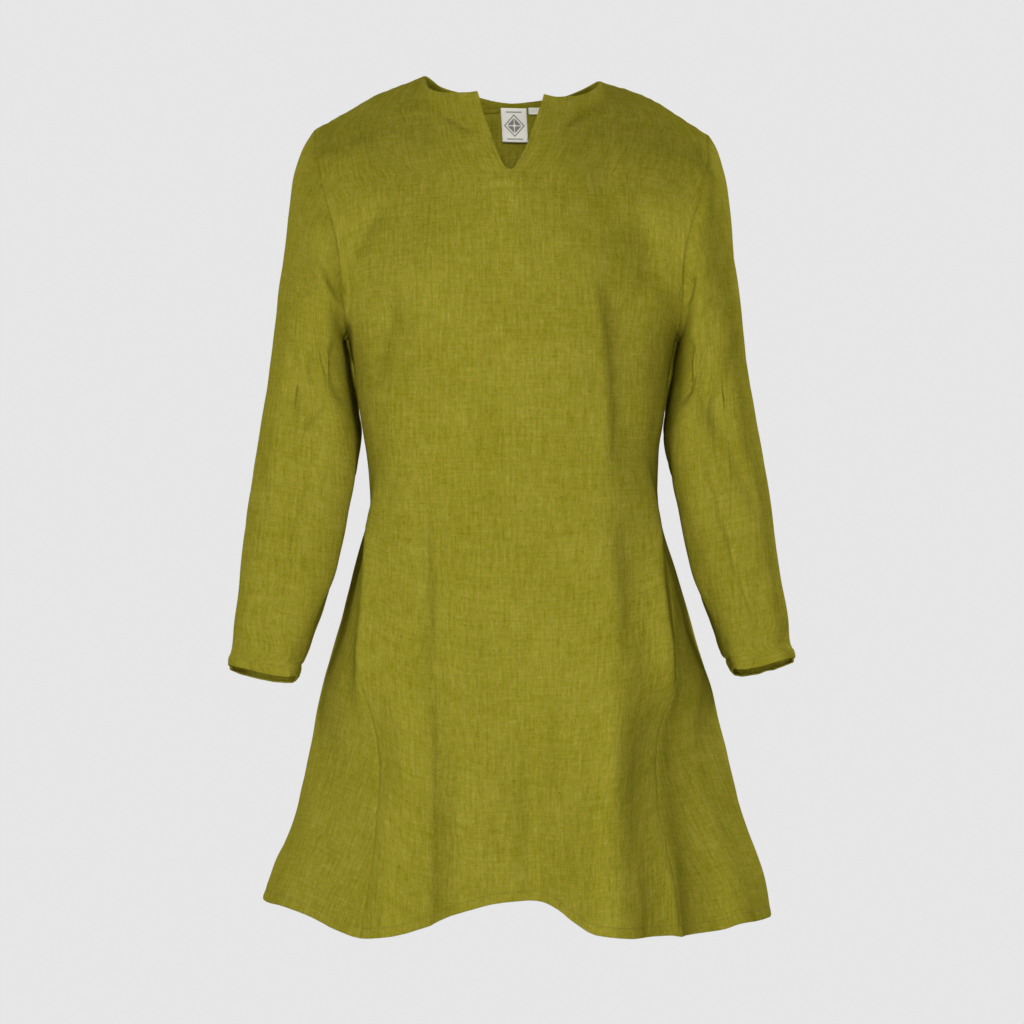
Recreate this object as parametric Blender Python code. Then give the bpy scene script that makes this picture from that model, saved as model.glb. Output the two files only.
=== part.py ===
"""A knee-length linen tunic in its worn shape, as the panels it is sewn from. Metres, +Z up, front faces -Y.

The origin is midway between the two points where the shoulder seams meet the neckline, at the height of
the cloth's inside there. The wearer's right is on -X and the wearer's left on +X.
"""

import math
from collections import namedtuple

import bmesh
import bpy
from mathutils import Vector

RIGHT, LEFT = -1, 1

# Cloth
CLOTH = 0.0015
HEM_CLOTH = 0.0026
HEM_WIDTH = 0.013
HEM_STEP = 0.003
SEAM_GAP = 0.0003

# Columns and rows of the panels
COLUMNS = 11
NECK_COLUMNS = 5
GORE_COLUMNS = 10
SKIRT_ROWS = 16
WAIST_ROWS = 6
GORE_TOP = 0.713
GORE_TIP = 0.92
YOKE_ROWS = (0.0, 0.1, 0.2, 0.3, 0.4, 0.5, 0.6, 0.72, 0.85, 0.97, 1.0)
SLIT_ROW = 6
RELAX_PASSES = 6

# Sections of the body from hem to underarm: reach to the wearer's right and left, depth to front and back
Section = namedtuple("Section", "height right left front back squareness")
BODY_SECTIONS = [
    Section(-0.979, 0.296, 0.309, 0.168, 0.165, 2.55),
    Section(-0.918, 0.277, 0.297, 0.160, 0.158, 2.50),
    Section(-0.846, 0.250, 0.271, 0.150, 0.148, 2.45),
    Section(-0.774, 0.233, 0.250, 0.143, 0.138, 2.40),
    Section(-0.702, 0.221, 0.231, 0.137, 0.128, 2.35),
    Section(-0.631, 0.204, 0.213, 0.131, 0.117, 2.30),
    Section(-0.560, 0.186, 0.192, 0.125, 0.106, 2.30),
    Section(-0.507, 0.171, 0.176, 0.121, 0.099, 2.30),
    Section(-0.471, 0.168, 0.171, 0.119, 0.097, 2.30),
    Section(-0.436, 0.170, 0.171, 0.120, 0.098, 2.30),
    Section(-0.407, 0.175, 0.175, 0.122, 0.101, 2.30),
    Section(-0.348, 0.184, 0.183, 0.126, 0.107, 2.30),
    Section(-0.299, 0.193, 0.192, 0.128, 0.111, 2.30),
]
UNDERARM_HEIGHT = -0.299

# Hem height round the body; the angle runs from the front centre towards the wearer's left
HemPoint = namedtuple("HemPoint", "angle height")
HEM = [
    HemPoint(-180, -0.9570),
    HemPoint(-150, -0.9620),
    HemPoint(-125, -0.9680),
    HemPoint(-100, -0.9700),
    HemPoint(-82, -0.9600),
    HemPoint(-65, -0.9535),
    HemPoint(-52, -0.9570),
    HemPoint(-43, -0.9640),
    HemPoint(-36, -0.9700),
    HemPoint(-29, -0.9735),
    HemPoint(-23, -0.9690),
    HemPoint(-15, -0.9575),
    HemPoint(-8, -0.9460),
    HemPoint(0, -0.9360),
    HemPoint(5, -0.9380),
    HemPoint(8, -0.9480),
    HemPoint(12, -0.9610),
    HemPoint(16, -0.9660),
    HemPoint(25, -0.9705),
    HemPoint(38, -0.9740),
    HemPoint(45, -0.9770),
    HemPoint(56, -0.9680),
    HemPoint(70, -0.9700),
    HemPoint(85, -0.9780),
    HemPoint(100, -0.9760),
    HemPoint(125, -0.9710),
    HemPoint(150, -0.9630),
    HemPoint(180, -0.9570),
]

# Seams between the body panels and the gores, as angles from the front centre; rise runs from hem to underarm
GoreSeam = namedtuple("GoreSeam", "rise right_front left_front right_back left_back")
GORE_SEAMS = [
    GoreSeam(0.000, 29.0, 35.5, 152.0, 150.0),
    GoreSeam(0.120, 30.0, 36.0, 150.0, 148.0),
    GoreSeam(0.250, 34.0, 38.0, 146.0, 144.0),
    GoreSeam(0.400, 43.0, 45.5, 137.0, 136.0),
    GoreSeam(0.500, 50.0, 52.0, 130.0, 129.0),
    GoreSeam(0.600, 59.5, 61.0, 121.0, 120.0),
    GoreSeam(0.670, 71.0, 72.0, 109.0, 108.0),
    GoreSeam(GORE_TOP, 90.0, 90.0, 90.0, 90.0),
]

# Folds that grow from their top down to the hem; a push above zero stands out, one below zero sinks in
Fold = namedtuple("Fold", "angle_top angle_hem spread top push")
FOLDS = [
    Fold(-41, -20, 8, -0.36, 0.017),
    Fold(-27, -11, 5, -0.36, -0.010),
    Fold(2, 2, 10, -0.52, -0.027),
    Fold(36, 18, 7, -0.28, 0.022),
    Fold(30, 34, 6, -0.58, 0.010),
    Fold(58, 43, 6, -0.55, -0.013),
    Fold(84, 62, 11, -0.60, 0.010),
    Fold(-74, -46, 12, -0.60, -0.006),
    Fold(-96, -100, 12, -0.62, 0.008),
    Fold(104, 100, 12, -0.62, -0.006),
    Fold(-118, -128, 9, -0.52, -0.012),
    Fold(122, 126, 9, -0.52, 0.012),
    Fold(-142, -151, 8, -0.46, 0.018),
    Fold(-160, -166, 7, -0.50, -0.012),
    Fold(176, 179, 8, -0.50, 0.014),
    Fold(160, 165, 7, -0.50, -0.013),
    Fold(142, 150, 8, -0.46, 0.018),
]

# Neck, shoulders and armholes, listed for the wearer's left; side_of() turns a point to either side
NECK_POINT = {RIGHT: Vector((-0.1032, 0.0, 0.0037)), LEFT: Vector((0.1021, 0.0, -0.0010))}
SHOULDER_RISE = {RIGHT: 0.005, LEFT: 0.008}
NECK_LIFT = {RIGHT: 0.004, LEFT: 0.0}
SHOULDER_TIP = {RIGHT: Vector((-0.2285, 0.005, -0.0560)), LEFT: Vector((0.2265, 0.005, -0.0620))}
SLIT_END = Vector((0.0, -0.112, -0.1085))
SLIT_BEND = Vector((0.016, -0.104, -0.074))
SLIT_CORNER = {RIGHT: Vector((-0.0395, -0.078, -0.0195)), LEFT: Vector((0.0350, -0.078, -0.0225))}
FRONT_NECK = [Vector((0.0600, -0.067, -0.0215)), Vector((0.0785, -0.050, -0.0180)), Vector((0.0950, -0.028, -0.0085))]
BACK_NECK_CENTRE = Vector((0.0, 0.075, -0.0222))
BACK_NECK = [Vector((0.0356, 0.071, -0.0180)), Vector((0.0624, 0.060, -0.0135)), Vector((0.0870, 0.036, -0.0060))]
FRONT_CENTRE = [Vector((0.0, -0.1265, -0.235)), Vector((0.0, -0.1215, -0.165))]
BACK_CENTRE = [
    Vector((0.0, 0.115, -0.240)),
    Vector((0.0, 0.114, -0.180)),
    Vector((0.0, 0.105, -0.120)),
    Vector((0.0, 0.089, -0.062)),
]
FRONT_ARMHOLE = [
    Vector((0.1925, -0.036, -0.286)),
    Vector((0.1945, -0.062, -0.256)),
    Vector((0.1960, -0.079, -0.206)),
    Vector((0.2035, -0.078, -0.166)),
    Vector((0.2160, -0.062, -0.127)),
    Vector((0.2240, -0.036, -0.090)),
]
BACK_ARMHOLE = [
    Vector((0.1930, 0.038, -0.284)),
    Vector((0.1965, 0.066, -0.250)),
    Vector((0.2010, 0.081, -0.200)),
    Vector((0.2080, 0.077, -0.155)),
    Vector((0.2180, 0.060, -0.116)),
    Vector((0.2250, 0.036, -0.085)),
]

# Rings of the sleeve below the armhole: its outer and inner edge seen from the front, then its depth
Ring = namedtuple("Ring", "outer_right outer_left outer_height inner_right inner_left inner_height middle depth lean")
SLEEVE_RINGS = [
    Ring(0.2410, 0.2350, -0.076, 0.1968, 0.1958, -0.3035, 0.001, 0.084, 0),
    Ring(0.2536, 0.2470, -0.110, 0.1955, 0.1945, -0.3125, 0.002, 0.084, 0),
    Ring(0.2600, 0.2535, -0.151, 0.1930, 0.1922, -0.3260, 0.003, 0.083, 0),
    Ring(0.2657, 0.2590, -0.195, 0.1905, 0.1897, -0.3430, 0.005, 0.081, 0),
    Ring(0.2725, 0.2653, -0.243, 0.1870, 0.1863, -0.3640, 0.007, 0.079, 0),
    Ring(0.2795, 0.2725, -0.298, 0.1828, 0.1822, -0.3900, 0.009, 0.077, 0),
    Ring(0.2880, 0.2810, -0.355, 0.1793, 0.1790, -0.4190, 0.010, 0.074, 0),
    Ring(0.2975, 0.2912, -0.413, 0.1838, 0.1850, -0.4570, 0.009, 0.070, 1),
    Ring(0.3065, 0.3025, -0.472, 0.1920, 0.1945, -0.5000, 0.006, 0.065, 3),
    Ring(0.3137, 0.3098, -0.530, 0.2015, 0.2050, -0.5460, 0.001, 0.059, 5),
    Ring(0.3195, 0.3165, -0.582, 0.2145, 0.2180, -0.5930, -0.008, 0.053, 7),
    Ring(0.3250, 0.3235, -0.627, 0.2290, 0.2325, -0.6370, -0.019, 0.046, 9),
    Ring(0.3287, 0.3297, -0.6600, 0.2415, 0.2460, -0.6745, -0.030, 0.039, 11),
    Ring(0.3290, 0.3303, -0.6625, 0.2425, 0.2475, -0.6785, -0.031, 0.038, 11),
    Ring(0.3305, 0.3312, -0.6730, 0.2470, 0.2540, -0.6930, -0.036, 0.033, 12),
]
ARMHOLE_SHAPE = (0.85, 0.62, 0.40, 0.22, 0.09)
CUFF_LIFT = 0.010
CUFF_DROP = {RIGHT: 0.009, LEFT: 0.0}
UNDERARM_SHARPNESS = 4

# Creases of the sleeve, at a share of the way down it and an angle round it from the underarm over the front
Crease = namedtuple("Crease", "start end angle_start angle_end spread push")
SLEEVE_CREASES = [
    Crease(0.30, 0.56, 62, 118, 0.035, -0.0045),
    Crease(0.52, 0.78, 70, 96, 0.040, -0.0035),
    Crease(0.56, 0.74, 330, 285, 0.035, -0.0045),
    Crease(0.40, 0.60, 300, 240, 0.040, -0.0040),
]

# Pieces on the inside of the back neck
BAND_CLOTH = 0.0010
LABEL_CLOTH = 0.0006
LABEL_LIFT = 0.0008
LABEL_WIDTH, LABEL_LENGTH, LABEL_MIDDLE = 0.0305, 0.0385, 0.0025
TAB_WIDTH, TAB_LENGTH, TAB_MIDDLE = 0.0170, 0.0080, 0.0275
LABEL_SWING = math.radians(2.5)
LABEL_STEPS = 6

LINEN = {"base_color": (0.245, 0.235, 0.022, 1.0), "roughness": 0.9}
LINEN_DARK = {"base_color": (0.190, 0.185, 0.020, 1.0), "roughness": 0.9}
WOVEN_LABEL = {"base_color": (0.82, 0.78, 0.70, 1.0), "roughness": 0.75}


def smooth_value(keys, values, at):
    """The value at a place on a smooth curve through the values at rising keys."""
    at = min(max(at, keys[0]), keys[-1])
    last = len(keys) - 2
    i = next((n for n in range(last) if at <= keys[n + 1]), last)
    steps = [(values[n + 1] - values[n]) / (keys[n + 1] - keys[n]) for n in range(len(keys) - 1)]
    slope_in = steps[i] if i == 0 else (steps[i - 1] + steps[i]) / 2
    slope_out = steps[i] if i == last else (steps[i] + steps[i + 1]) / 2
    width = keys[i + 1] - keys[i]
    t = (at - keys[i]) / width
    return (
        values[i] * (1 - 3 * t**2 + 2 * t**3)
        + values[i + 1] * (3 * t**2 - 2 * t**3)
        + width * (slope_in * (t - 2 * t**2 + t**3) + slope_out * (t**3 - t**2))
    )


def column(rows, name):
    """One named column of a table."""
    return [getattr(row, name) for row in rows]


def smooth_step(t):
    """Rises softly from 0 to 1 as t does."""
    t = min(max(t, 0.0), 1.0)
    return t * t * (3 - 2 * t)


def side_of(point, side):
    """A point listed for the wearer's left, on the side asked for."""
    return Vector((point.x * side, point.y, point.z))


def along(points, share):
    """The point at a share of the length of a smooth curve through the points."""
    reached = [0.0]
    for a, b in zip(points, points[1:]):
        reached.append(reached[-1] + (b - a).length)
    at = share * reached[-1]
    return Vector([smooth_value(reached, [p[axis] for p in points], at) for axis in range(3)])


def body_section(height):
    """The body's section at a height, between the listed ones."""
    keys = column(BODY_SECTIONS, "height")
    return Section(height, *(smooth_value(keys, column(BODY_SECTIONS, n), height) for n in Section._fields[1:]))


def fold_push(angle, height):
    """How far the folds move the cloth outwards at an angle and a height."""
    total = 0.0
    for fold in FOLDS:
        grown = smooth_step((fold.top - height) / (fold.top - HEM[0].height))
        middle = fold.angle_top + (fold.angle_hem - fold.angle_top) * grown
        off = (angle - middle + 180) % 360 - 180
        spread = fold.spread * (1 + 0.6 * (1 - grown))
        total += fold.push * grown * math.exp(-((off / spread) ** 2))
    return total


def body_point(angle, rise):
    """A point of the body below the underarm; rise runs from 0 at the hem to 1 at the underarm."""
    hem = smooth_value(column(HEM, "angle"), column(HEM, "height"), angle)
    height = hem + (UNDERARM_HEIGHT - hem) * rise
    section = body_section(height)
    turn = math.radians(angle)
    power = 2 / section.squareness
    across, ahead = math.sin(turn), math.cos(turn)
    reach = section.left if across > 0 else section.right
    depth = section.front if ahead > 0 else section.back
    x = math.copysign(reach * abs(across) ** power, across)
    y = -math.copysign(depth * abs(ahead) ** power, ahead)
    outward = Vector((x / reach**2, y / depth**2, 0)).normalized()
    return Vector((x, y, height)) + outward * fold_push(angle, height)


def skirt_rises():
    """The rows from the hem to the gores' tips, the first two of them round the turned hem."""
    length = UNDERARM_HEIGHT - HEM[0].height
    first = (HEM_WIDTH + HEM_STEP) / length
    step = (GORE_TOP - first) / SKIRT_ROWS
    return [0.0, HEM_WIDTH / length] + [first + step * n for n in range(SKIRT_ROWS)]


def body_rises():
    """All rows from the hem to the underarm."""
    step = (1 - GORE_TOP) / WAIST_ROWS
    return skirt_rises() + [GORE_TOP + step * n for n in range(WAIST_ROWS + 1)]


def seam_angle(name, rise):
    """The angle of a gore's seam at a row, 90 degrees above the gore."""
    return smooth_value(column(GORE_SEAMS, "rise"), column(GORE_SEAMS, name), rise)


def lower_half(side, facing):
    """The rows of half a body panel below the underarm, from its centre to its side seam."""
    name = ("left_" if side == LEFT else "right_") + facing
    centre = 0.0 if facing == "front" else 180.0
    rows = []
    for rise in body_rises():
        edge = seam_angle(name, rise)
        angles = [centre + (edge - centre) * n / COLUMNS for n in range(COLUMNS + 1)]
        rows.append([body_point(side * angle, rise) for angle in angles])
    return rows


def neck_edge(side, facing):
    """The neckline of half a panel, from the slit or the back's centre to the shoulder seam."""
    if facing == "front":
        start, inner = SLIT_CORNER[side], FRONT_NECK
    else:
        start, inner = BACK_NECK_CENTRE, BACK_NECK
    lift = Vector((0, 0, NECK_LIFT[side]))
    return [start, *(side_of(p, side) + lift for p in inner), NECK_POINT[side]]


def shoulder_seam(side):
    """The shoulder seam, a little above the straight line from neck to tip."""
    neck, tip = NECK_POINT[side], SHOULDER_TIP[side]
    return [neck, (neck + tip) / 2 + Vector((0, 0, SHOULDER_RISE[side])), tip]


def top_edge(side, facing):
    """The top edge of half a panel: the neckline and then the shoulder seam."""
    neck = [along(neck_edge(side, facing), n / NECK_COLUMNS) for n in range(NECK_COLUMNS)]
    rest = COLUMNS - NECK_COLUMNS
    return neck + [along(shoulder_seam(side), n / rest) for n in range(rest + 1)]


def centre_edge(side, facing, start):
    """The centre of half a panel from the underarm row up, which on the front turns into the slit's edge."""
    if facing == "back":
        line = [start, *BACK_CENTRE, BACK_NECK_CENTRE]
        return [along(line, row) for row in YOKE_ROWS]
    below = [start, *FRONT_CENTRE, SLIT_END]
    slit = [SLIT_END, side_of(SLIT_BEND, side), SLIT_CORNER[side]]
    split = YOKE_ROWS[SLIT_ROW]
    return [
        along(below, row / split) if n <= SLIT_ROW else along(slit, (row - split) / (1 - split))
        for n, row in enumerate(YOKE_ROWS)
    ]


def armhole_edge(side, facing, start):
    """The armhole from the underarm to the tip of the shoulder."""
    listed = FRONT_ARMHOLE if facing == "front" else BACK_ARMHOLE
    drop = Vector((0, 0, SHOULDER_TIP[side].z - SHOULDER_TIP[RIGHT].z))
    line = [start]
    for n, p in enumerate(listed):
        line.append(side_of(p, side) + drop * (n + 1) / (len(listed) + 1))
    line.append(SHOULDER_TIP[side])
    return [along(line, row) for row in YOKE_ROWS]


def upper_half(side, facing, bottom):
    """The rows of half a panel above the underarm: a patch that is stretched between its four edges."""
    top = top_edge(side, facing)
    centre = centre_edge(side, facing, bottom[0])
    edge = armhole_edge(side, facing, bottom[-1])
    rows = []
    for j, v in enumerate(YOKE_ROWS):
        row = []
        for i in range(COLUMNS + 1):
            u = i / COLUMNS
            between_rows = bottom[i].lerp(top[i], v)
            between_sides = centre[j].lerp(edge[j], u)
            corners = bottom[0].lerp(bottom[-1], u).lerp(top[0].lerp(top[-1], u), v)
            row.append(between_rows + between_sides - corners)
        rows.append(row)
    return rows[1:]


def relaxed(grid, first, last, passes):
    """Evens out the inside points of the rows from first to last, as tension does in cloth."""
    for _ in range(passes):
        moved = [list(row) for row in grid]
        for j in range(first, last):
            for i in range(1, len(grid[j]) - 1):
                round_it = grid[j - 1][i] + grid[j + 1][i] + grid[j][i - 1] + grid[j][i + 1]
                moved[j][i] = grid[j][i].lerp(round_it / 4, 0.5)
        grid = moved
    return grid


def body_half(side, facing):
    """Half a body panel as rows of points, from hem to shoulder and from centre to side."""
    lower = lower_half(side, facing)
    grid = lower + upper_half(side, facing, lower[-1])
    return relaxed(grid, len(lower) - 2, len(grid) - 1, RELAX_PASSES)


def gore(side):
    """A side gore, from the front panel's seam to the back panel's; its tip stops just short of the side seam."""
    names = ("left_front", "left_back") if side == LEFT else ("right_front", "right_back")
    rows = []
    for rise in skirt_rises():
        start, end = (seam_angle(name, rise) for name in names)
        angles = [start + (end - start) * n / GORE_COLUMNS for n in range(GORE_COLUMNS + 1)]
        rows.append([body_point(side * angle, rise) for angle in angles])
    tip = body_point(side * 90.0, GORE_TOP)
    rows.append([p.lerp(tip, GORE_TIP) for p in rows[-1]])
    return rows


def armhole_loop(front, back):
    """The edge points of the front and back halves round one armhole, from the underarm over the front."""
    underarm = len(body_rises()) - 1
    ahead = [row[-1] for row in front[underarm:]]
    behind = [row[-1] for row in back[underarm:]]
    return ahead + behind[-2:0:-1]


def crease_push(share, angle):
    """How far the creases move the sleeve's cloth inwards at a share of the way down and an angle round it."""
    total = 0.0
    for crease in SLEEVE_CREASES:
        t = (angle - crease.angle_start) / (crease.angle_end - crease.angle_start)
        if 0 < t < 1:
            middle = crease.start + (crease.end - crease.start) * t
            total += crease.push * math.sin(math.pi * t) * math.exp(-(((share - middle) / crease.spread) ** 2))
    return total


def ring_frame(ring, side):
    """Centre, half width, outward and forward direction of a sleeve ring."""
    outer = ring.outer_left if side == LEFT else ring.outer_right
    inner = ring.inner_left if side == LEFT else ring.inner_right
    out_point = Vector((side * outer, ring.middle, ring.outer_height))
    in_point = Vector((side * inner, ring.middle, ring.inner_height))
    outward = (out_point - in_point).normalized()
    lean = math.radians(ring.lean)
    forward = Vector((0, -math.cos(lean), math.sin(lean)))
    forward = (forward - outward * forward.dot(outward)).normalized()
    return (out_point + in_point) / 2, (out_point - in_point).length / 2, outward, forward


def armhole_outline(loop):
    """The armhole's own outline: for each point its place outwards, forwards and off the plane, from -1 to 1."""
    count = len(loop)
    low, high = loop[0], loop[count // 2]
    centre, reach = (low + high) / 2, (high - low).length / 2
    outward = (high - low).normalized()
    forward = Vector((0, -1, 0))
    forward = (forward - outward * forward.dot(outward)).normalized()
    aside = outward.cross(forward)
    depth = max(abs((p - centre).dot(forward)) for p in loop)
    return [
        ((p - centre).dot(outward) / reach, (p - centre).dot(forward) / depth, (p - centre).dot(aside))
        for p in loop
    ]


def sleeve(side, loop):
    """A sleeve as rings of points, the first of them the armhole; the rings start at the underarm."""
    outline = armhole_outline(loop)
    count = len(loop)
    rings = [loop]
    for n, ring in enumerate(SLEEVE_RINGS):
        centre, reach, outward, forward = ring_frame(ring, side)
        aside = outward.cross(forward)
        share = (n + 1) / len(SLEEVE_RINGS)
        keep = ARMHOLE_SHAPE[n] if n < len(ARMHOLE_SHAPE) else 0.0
        lift = CUFF_LIFT * smooth_step((share - 0.8) / 0.2)
        drop = CUFF_DROP[side] * smooth_step((share - 0.35) / 0.65)
        points = []
        for k in range(count):
            turn = math.tau * k / count
            out = outline[k][0] * keep - math.cos(turn) * (1 - keep)
            ahead = outline[k][1] * keep + math.sin(turn) * (1 - keep)
            push = 1 + crease_push(share, math.degrees(turn)) / reach
            point = centre + outward * (reach * out * push) + forward * (ring.depth * ahead * push)
            point += aside * (outline[k][2] * keep)
            point.z += lift * max(0.0, math.cos(turn)) ** UNDERARM_SHARPNESS - drop
            points.append(point)
        rings.append(points)
    return rings


def key_of(point):
    """A point as a key that is the same for points that fall together."""
    return tuple(round(value * 1e6) for value in point)


def quads_of(grid, closed, flip):
    """The faces of a grid as corner points, wound so that they face outwards."""
    faces = []
    for low, high in zip(grid, grid[1:]):
        last = len(low) if closed else len(low) - 1
        for i in range(last):
            k = (i + 1) % len(low)
            face = [low[i], low[k], high[k], high[i]]
            faces.append(face[::-1] if flip else face)
    return faces


def outward_normals(patches):
    """The normal of each point of the whole tunic, shared by the panels that meet there."""
    sums = {}
    for faces in patches:
        for face in faces:
            normal = (face[2] - face[0]).cross(face[3] - face[1])
            for corner in face:
                key = key_of(corner)
                sums[key] = sums.get(key, Vector()) + normal
    return {key: total.normalized() for key, total in sums.items()}


def seam_neighbours(grid, closed):
    """For each point on the edge of a grid, the nearest point inside it."""
    inner = {}
    last_row, last = len(grid) - 1, len(grid[0]) - 1
    for j, row in enumerate(grid):
        for i, point in enumerate(row):
            inside_j = min(max(j, 1), last_row - 1)
            inside_i = i if closed else min(max(i, 1), last - 1)
            if (inside_j, inside_i) != (j, i):
                inner[key_of(point)] = grid[inside_j][inside_i]
    return inner


def mesh_object(name, verts, faces, finish, collection):
    """A mesh object with its own material, shaded smooth."""
    mesh = bpy.data.meshes.new(name)
    mesh.from_pydata(verts, [], faces)
    bm = bmesh.new()
    bm.from_mesh(mesh)
    bmesh.ops.triangulate(bm, faces=bm.faces)
    bm.to_mesh(mesh)
    bm.free()
    material = bpy.data.materials.new(name)
    material.use_nodes = True
    shader = material.node_tree.nodes["Principled BSDF"]
    shader.inputs["Base Color"].default_value = finish["base_color"]
    shader.inputs["Roughness"].default_value = finish["roughness"]
    mesh.materials.append(material)
    mesh.shade_smooth()
    mesh.set_sharp_from_angle(angle=math.radians(50))
    obj = bpy.data.objects.new(name, mesh)
    collection.objects.link(obj)
    return obj


def wall(name, faces, inner_of, finish, collection):
    """A closed solid between an open surface and its inner side; inner_of gives a point's outer and inner place."""
    index, outer, inner, turned = {}, [], [], []
    for face in faces:
        ids = []
        for corner in face:
            key = key_of(corner)
            if key not in index:
                index[key] = len(outer)
                outside, inside = inner_of(corner)
                outer.append(outside)
                inner.append(inside)
            if index[key] not in ids:
                ids.append(index[key])
        turned.append(ids)
    count = len(outer)
    edges = {(a, b) for ids in turned for a, b in zip(ids, ids[1:] + ids[:1])}
    rim = [(b, a, a + count, b + count) for a, b in edges if (b, a) not in edges]
    back = [[n + count for n in reversed(ids)] for ids in turned]
    return mesh_object(name, outer + inner, turned + back + sorted(rim), finish, collection)


class Garment:
    """All panels together, so that they share normals and keep a small gap at their seams."""

    def __init__(self, panels):
        """panels holds a name and its grids, each a grid, closed and flip."""
        self.faces = {name: [q for grid in grids for q in quads_of(*grid)] for name, grids in panels.items()}
        self.normals = outward_normals(self.faces.values())
        self.inner = {name: {} for name in panels}
        for name, grids in panels.items():
            for grid, closed, _ in grids:
                self.inner[name].update(seam_neighbours(grid, closed))
        self.corners = {name: {key_of(p) for face in faces for p in face} for name, faces in self.faces.items()}

    def seam_shift(self, name, point):
        """The small step that takes a seam point away from the panels it is sewn to."""
        key = key_of(point)
        others = [self.inner[o][key] for o in self.inner if o != name and key in self.inner[o]]
        if not others or key not in self.inner[name]:
            return Vector()
        middle = sum(others, Vector()) / len(others)
        return (self.inner[name][key] - middle).normalized() * SEAM_GAP * 0.62

    def sides(self, name, cloth_at):
        """A function that gives a point's outer and inner place in a panel's wall."""

        def place(point):
            outside = point + self.seam_shift(name, point)
            return outside, outside - self.normals[key_of(point)] * cloth_at(point)

        return place


def cloth_thickness(hem_keys):
    """A function that gives the cloth's thickness, which is more in the turned hems."""
    return lambda point: HEM_CLOTH if key_of(point) in hem_keys else CLOTH


def on_panel(grid, i, j):
    """A point of a panel between its columns and rows, both counted from the centre of the top edge."""
    row, col = len(grid) - 1 - j, i
    j0, i0 = int(math.floor(row)), int(math.floor(col))
    j0, i0 = min(j0, len(grid) - 2), min(i0, len(grid[0]) - 2)
    low = grid[j0][i0].lerp(grid[j0][i0 + 1], col - i0)
    high = grid[j0 + 1][i0].lerp(grid[j0 + 1][i0 + 1], col - i0)
    return low.lerp(high, row - j0)


def neck_band(garment, halves, collection):
    """The narrow binding inside the back neck, on the inner side of the back panel's top row."""
    faces = []
    for side, grid in halves.items():
        top = [row[: NECK_COLUMNS + 1] for row in grid[-2:]]
        faces += quads_of(top, False, side == LEFT)

    def place(point):
        normal = garment.normals[key_of(point)]
        outside = point - normal * (CLOTH + SEAM_GAP)
        return outside, outside - normal * BAND_CLOTH

    return wall("back_neck_band", faces, place, LINEN_DARK, collection)


def inside_patch(name, garment, halves, middle, width, length, swing, finish, collection):
    """A small woven piece that hangs inside the back neck below the band, made from the back panel's points."""
    band = halves[LEFT][-2]
    column_width = abs(band[1].x - band[0].x)
    row_length = (halves[LEFT][-3][0] - band[0]).length
    rows = []
    for j in range(LABEL_STEPS + 1):
        down = length * j / LABEL_STEPS
        row = []
        for i in range(LABEL_STEPS + 1):
            x = middle + width * (i / LABEL_STEPS - 0.5) + down * math.tan(swing)
            side = LEFT if x >= 0 else RIGHT
            drop = 1 + (down + SEAM_GAP * 4) / row_length
            point = on_panel(halves[side], abs(x) / column_width, drop)
            row.append(point + Vector((0, -(CLOTH + LABEL_LIFT), 0)))
        rows.append(row)
    faces = quads_of(rows, False, False)
    return wall(name, faces, lambda p: (p, p + Vector((0, -LABEL_CLOTH, 0))), finish, collection)


def clear_scene():
    """Removes whatever the scene holds."""
    for obj in list(bpy.data.objects):
        bpy.data.objects.remove(obj)


def main():
    """Builds the tunic's panels and the small pieces inside its neck."""
    clear_scene()
    collection = bpy.data.collections.new("linen_tunic")
    bpy.context.scene.collection.children.link(collection)
    front = {side: body_half(side, "front") for side in (RIGHT, LEFT)}
    back = {side: body_half(side, "back") for side in (RIGHT, LEFT)}
    gores = {side: gore(side) for side in (RIGHT, LEFT)}
    sleeves = {side: sleeve(side, armhole_loop(front[side], back[side])) for side in (RIGHT, LEFT)}
    panels = {
        "front_panel": [(front[side], False, side == RIGHT) for side in (RIGHT, LEFT)],
        "back_panel": [(back[side], False, side == LEFT) for side in (RIGHT, LEFT)],
        "gore_right": [(gores[RIGHT], False, True)],
        "gore_left": [(gores[LEFT], False, False)],
        "sleeve_right": [(sleeves[RIGHT], True, False)],
        "sleeve_left": [(sleeves[LEFT], True, True)],
    }
    garment = Garment(panels)
    hems = [row for half in (*front.values(), *back.values(), *gores.values()) for row in half[:2]]
    hems += [ring for rings in sleeves.values() for ring in rings[-2:]]
    thickness = cloth_thickness({key_of(p) for row in hems for p in row})
    for name in panels:
        wall(name, garment.faces[name], garment.sides(name, thickness), LINEN, collection)
    neck_band(garment, back, collection)
    label = ("neck_label", LABEL_MIDDLE, LABEL_WIDTH, LABEL_LENGTH, LABEL_SWING)
    tab = ("size_tab", TAB_MIDDLE, TAB_WIDTH, TAB_LENGTH, -LABEL_SWING)
    for name, middle, width, length, swing in (label, tab):
        inside_patch(name, garment, back, middle, width, length, swing, WOVEN_LABEL, collection)


main()
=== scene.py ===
import math
from collections import namedtuple

import bpy
import numpy as np
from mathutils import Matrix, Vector
from mathutils.bvhtree import BVHTree
from mathutils.kdtree import KDTree


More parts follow.
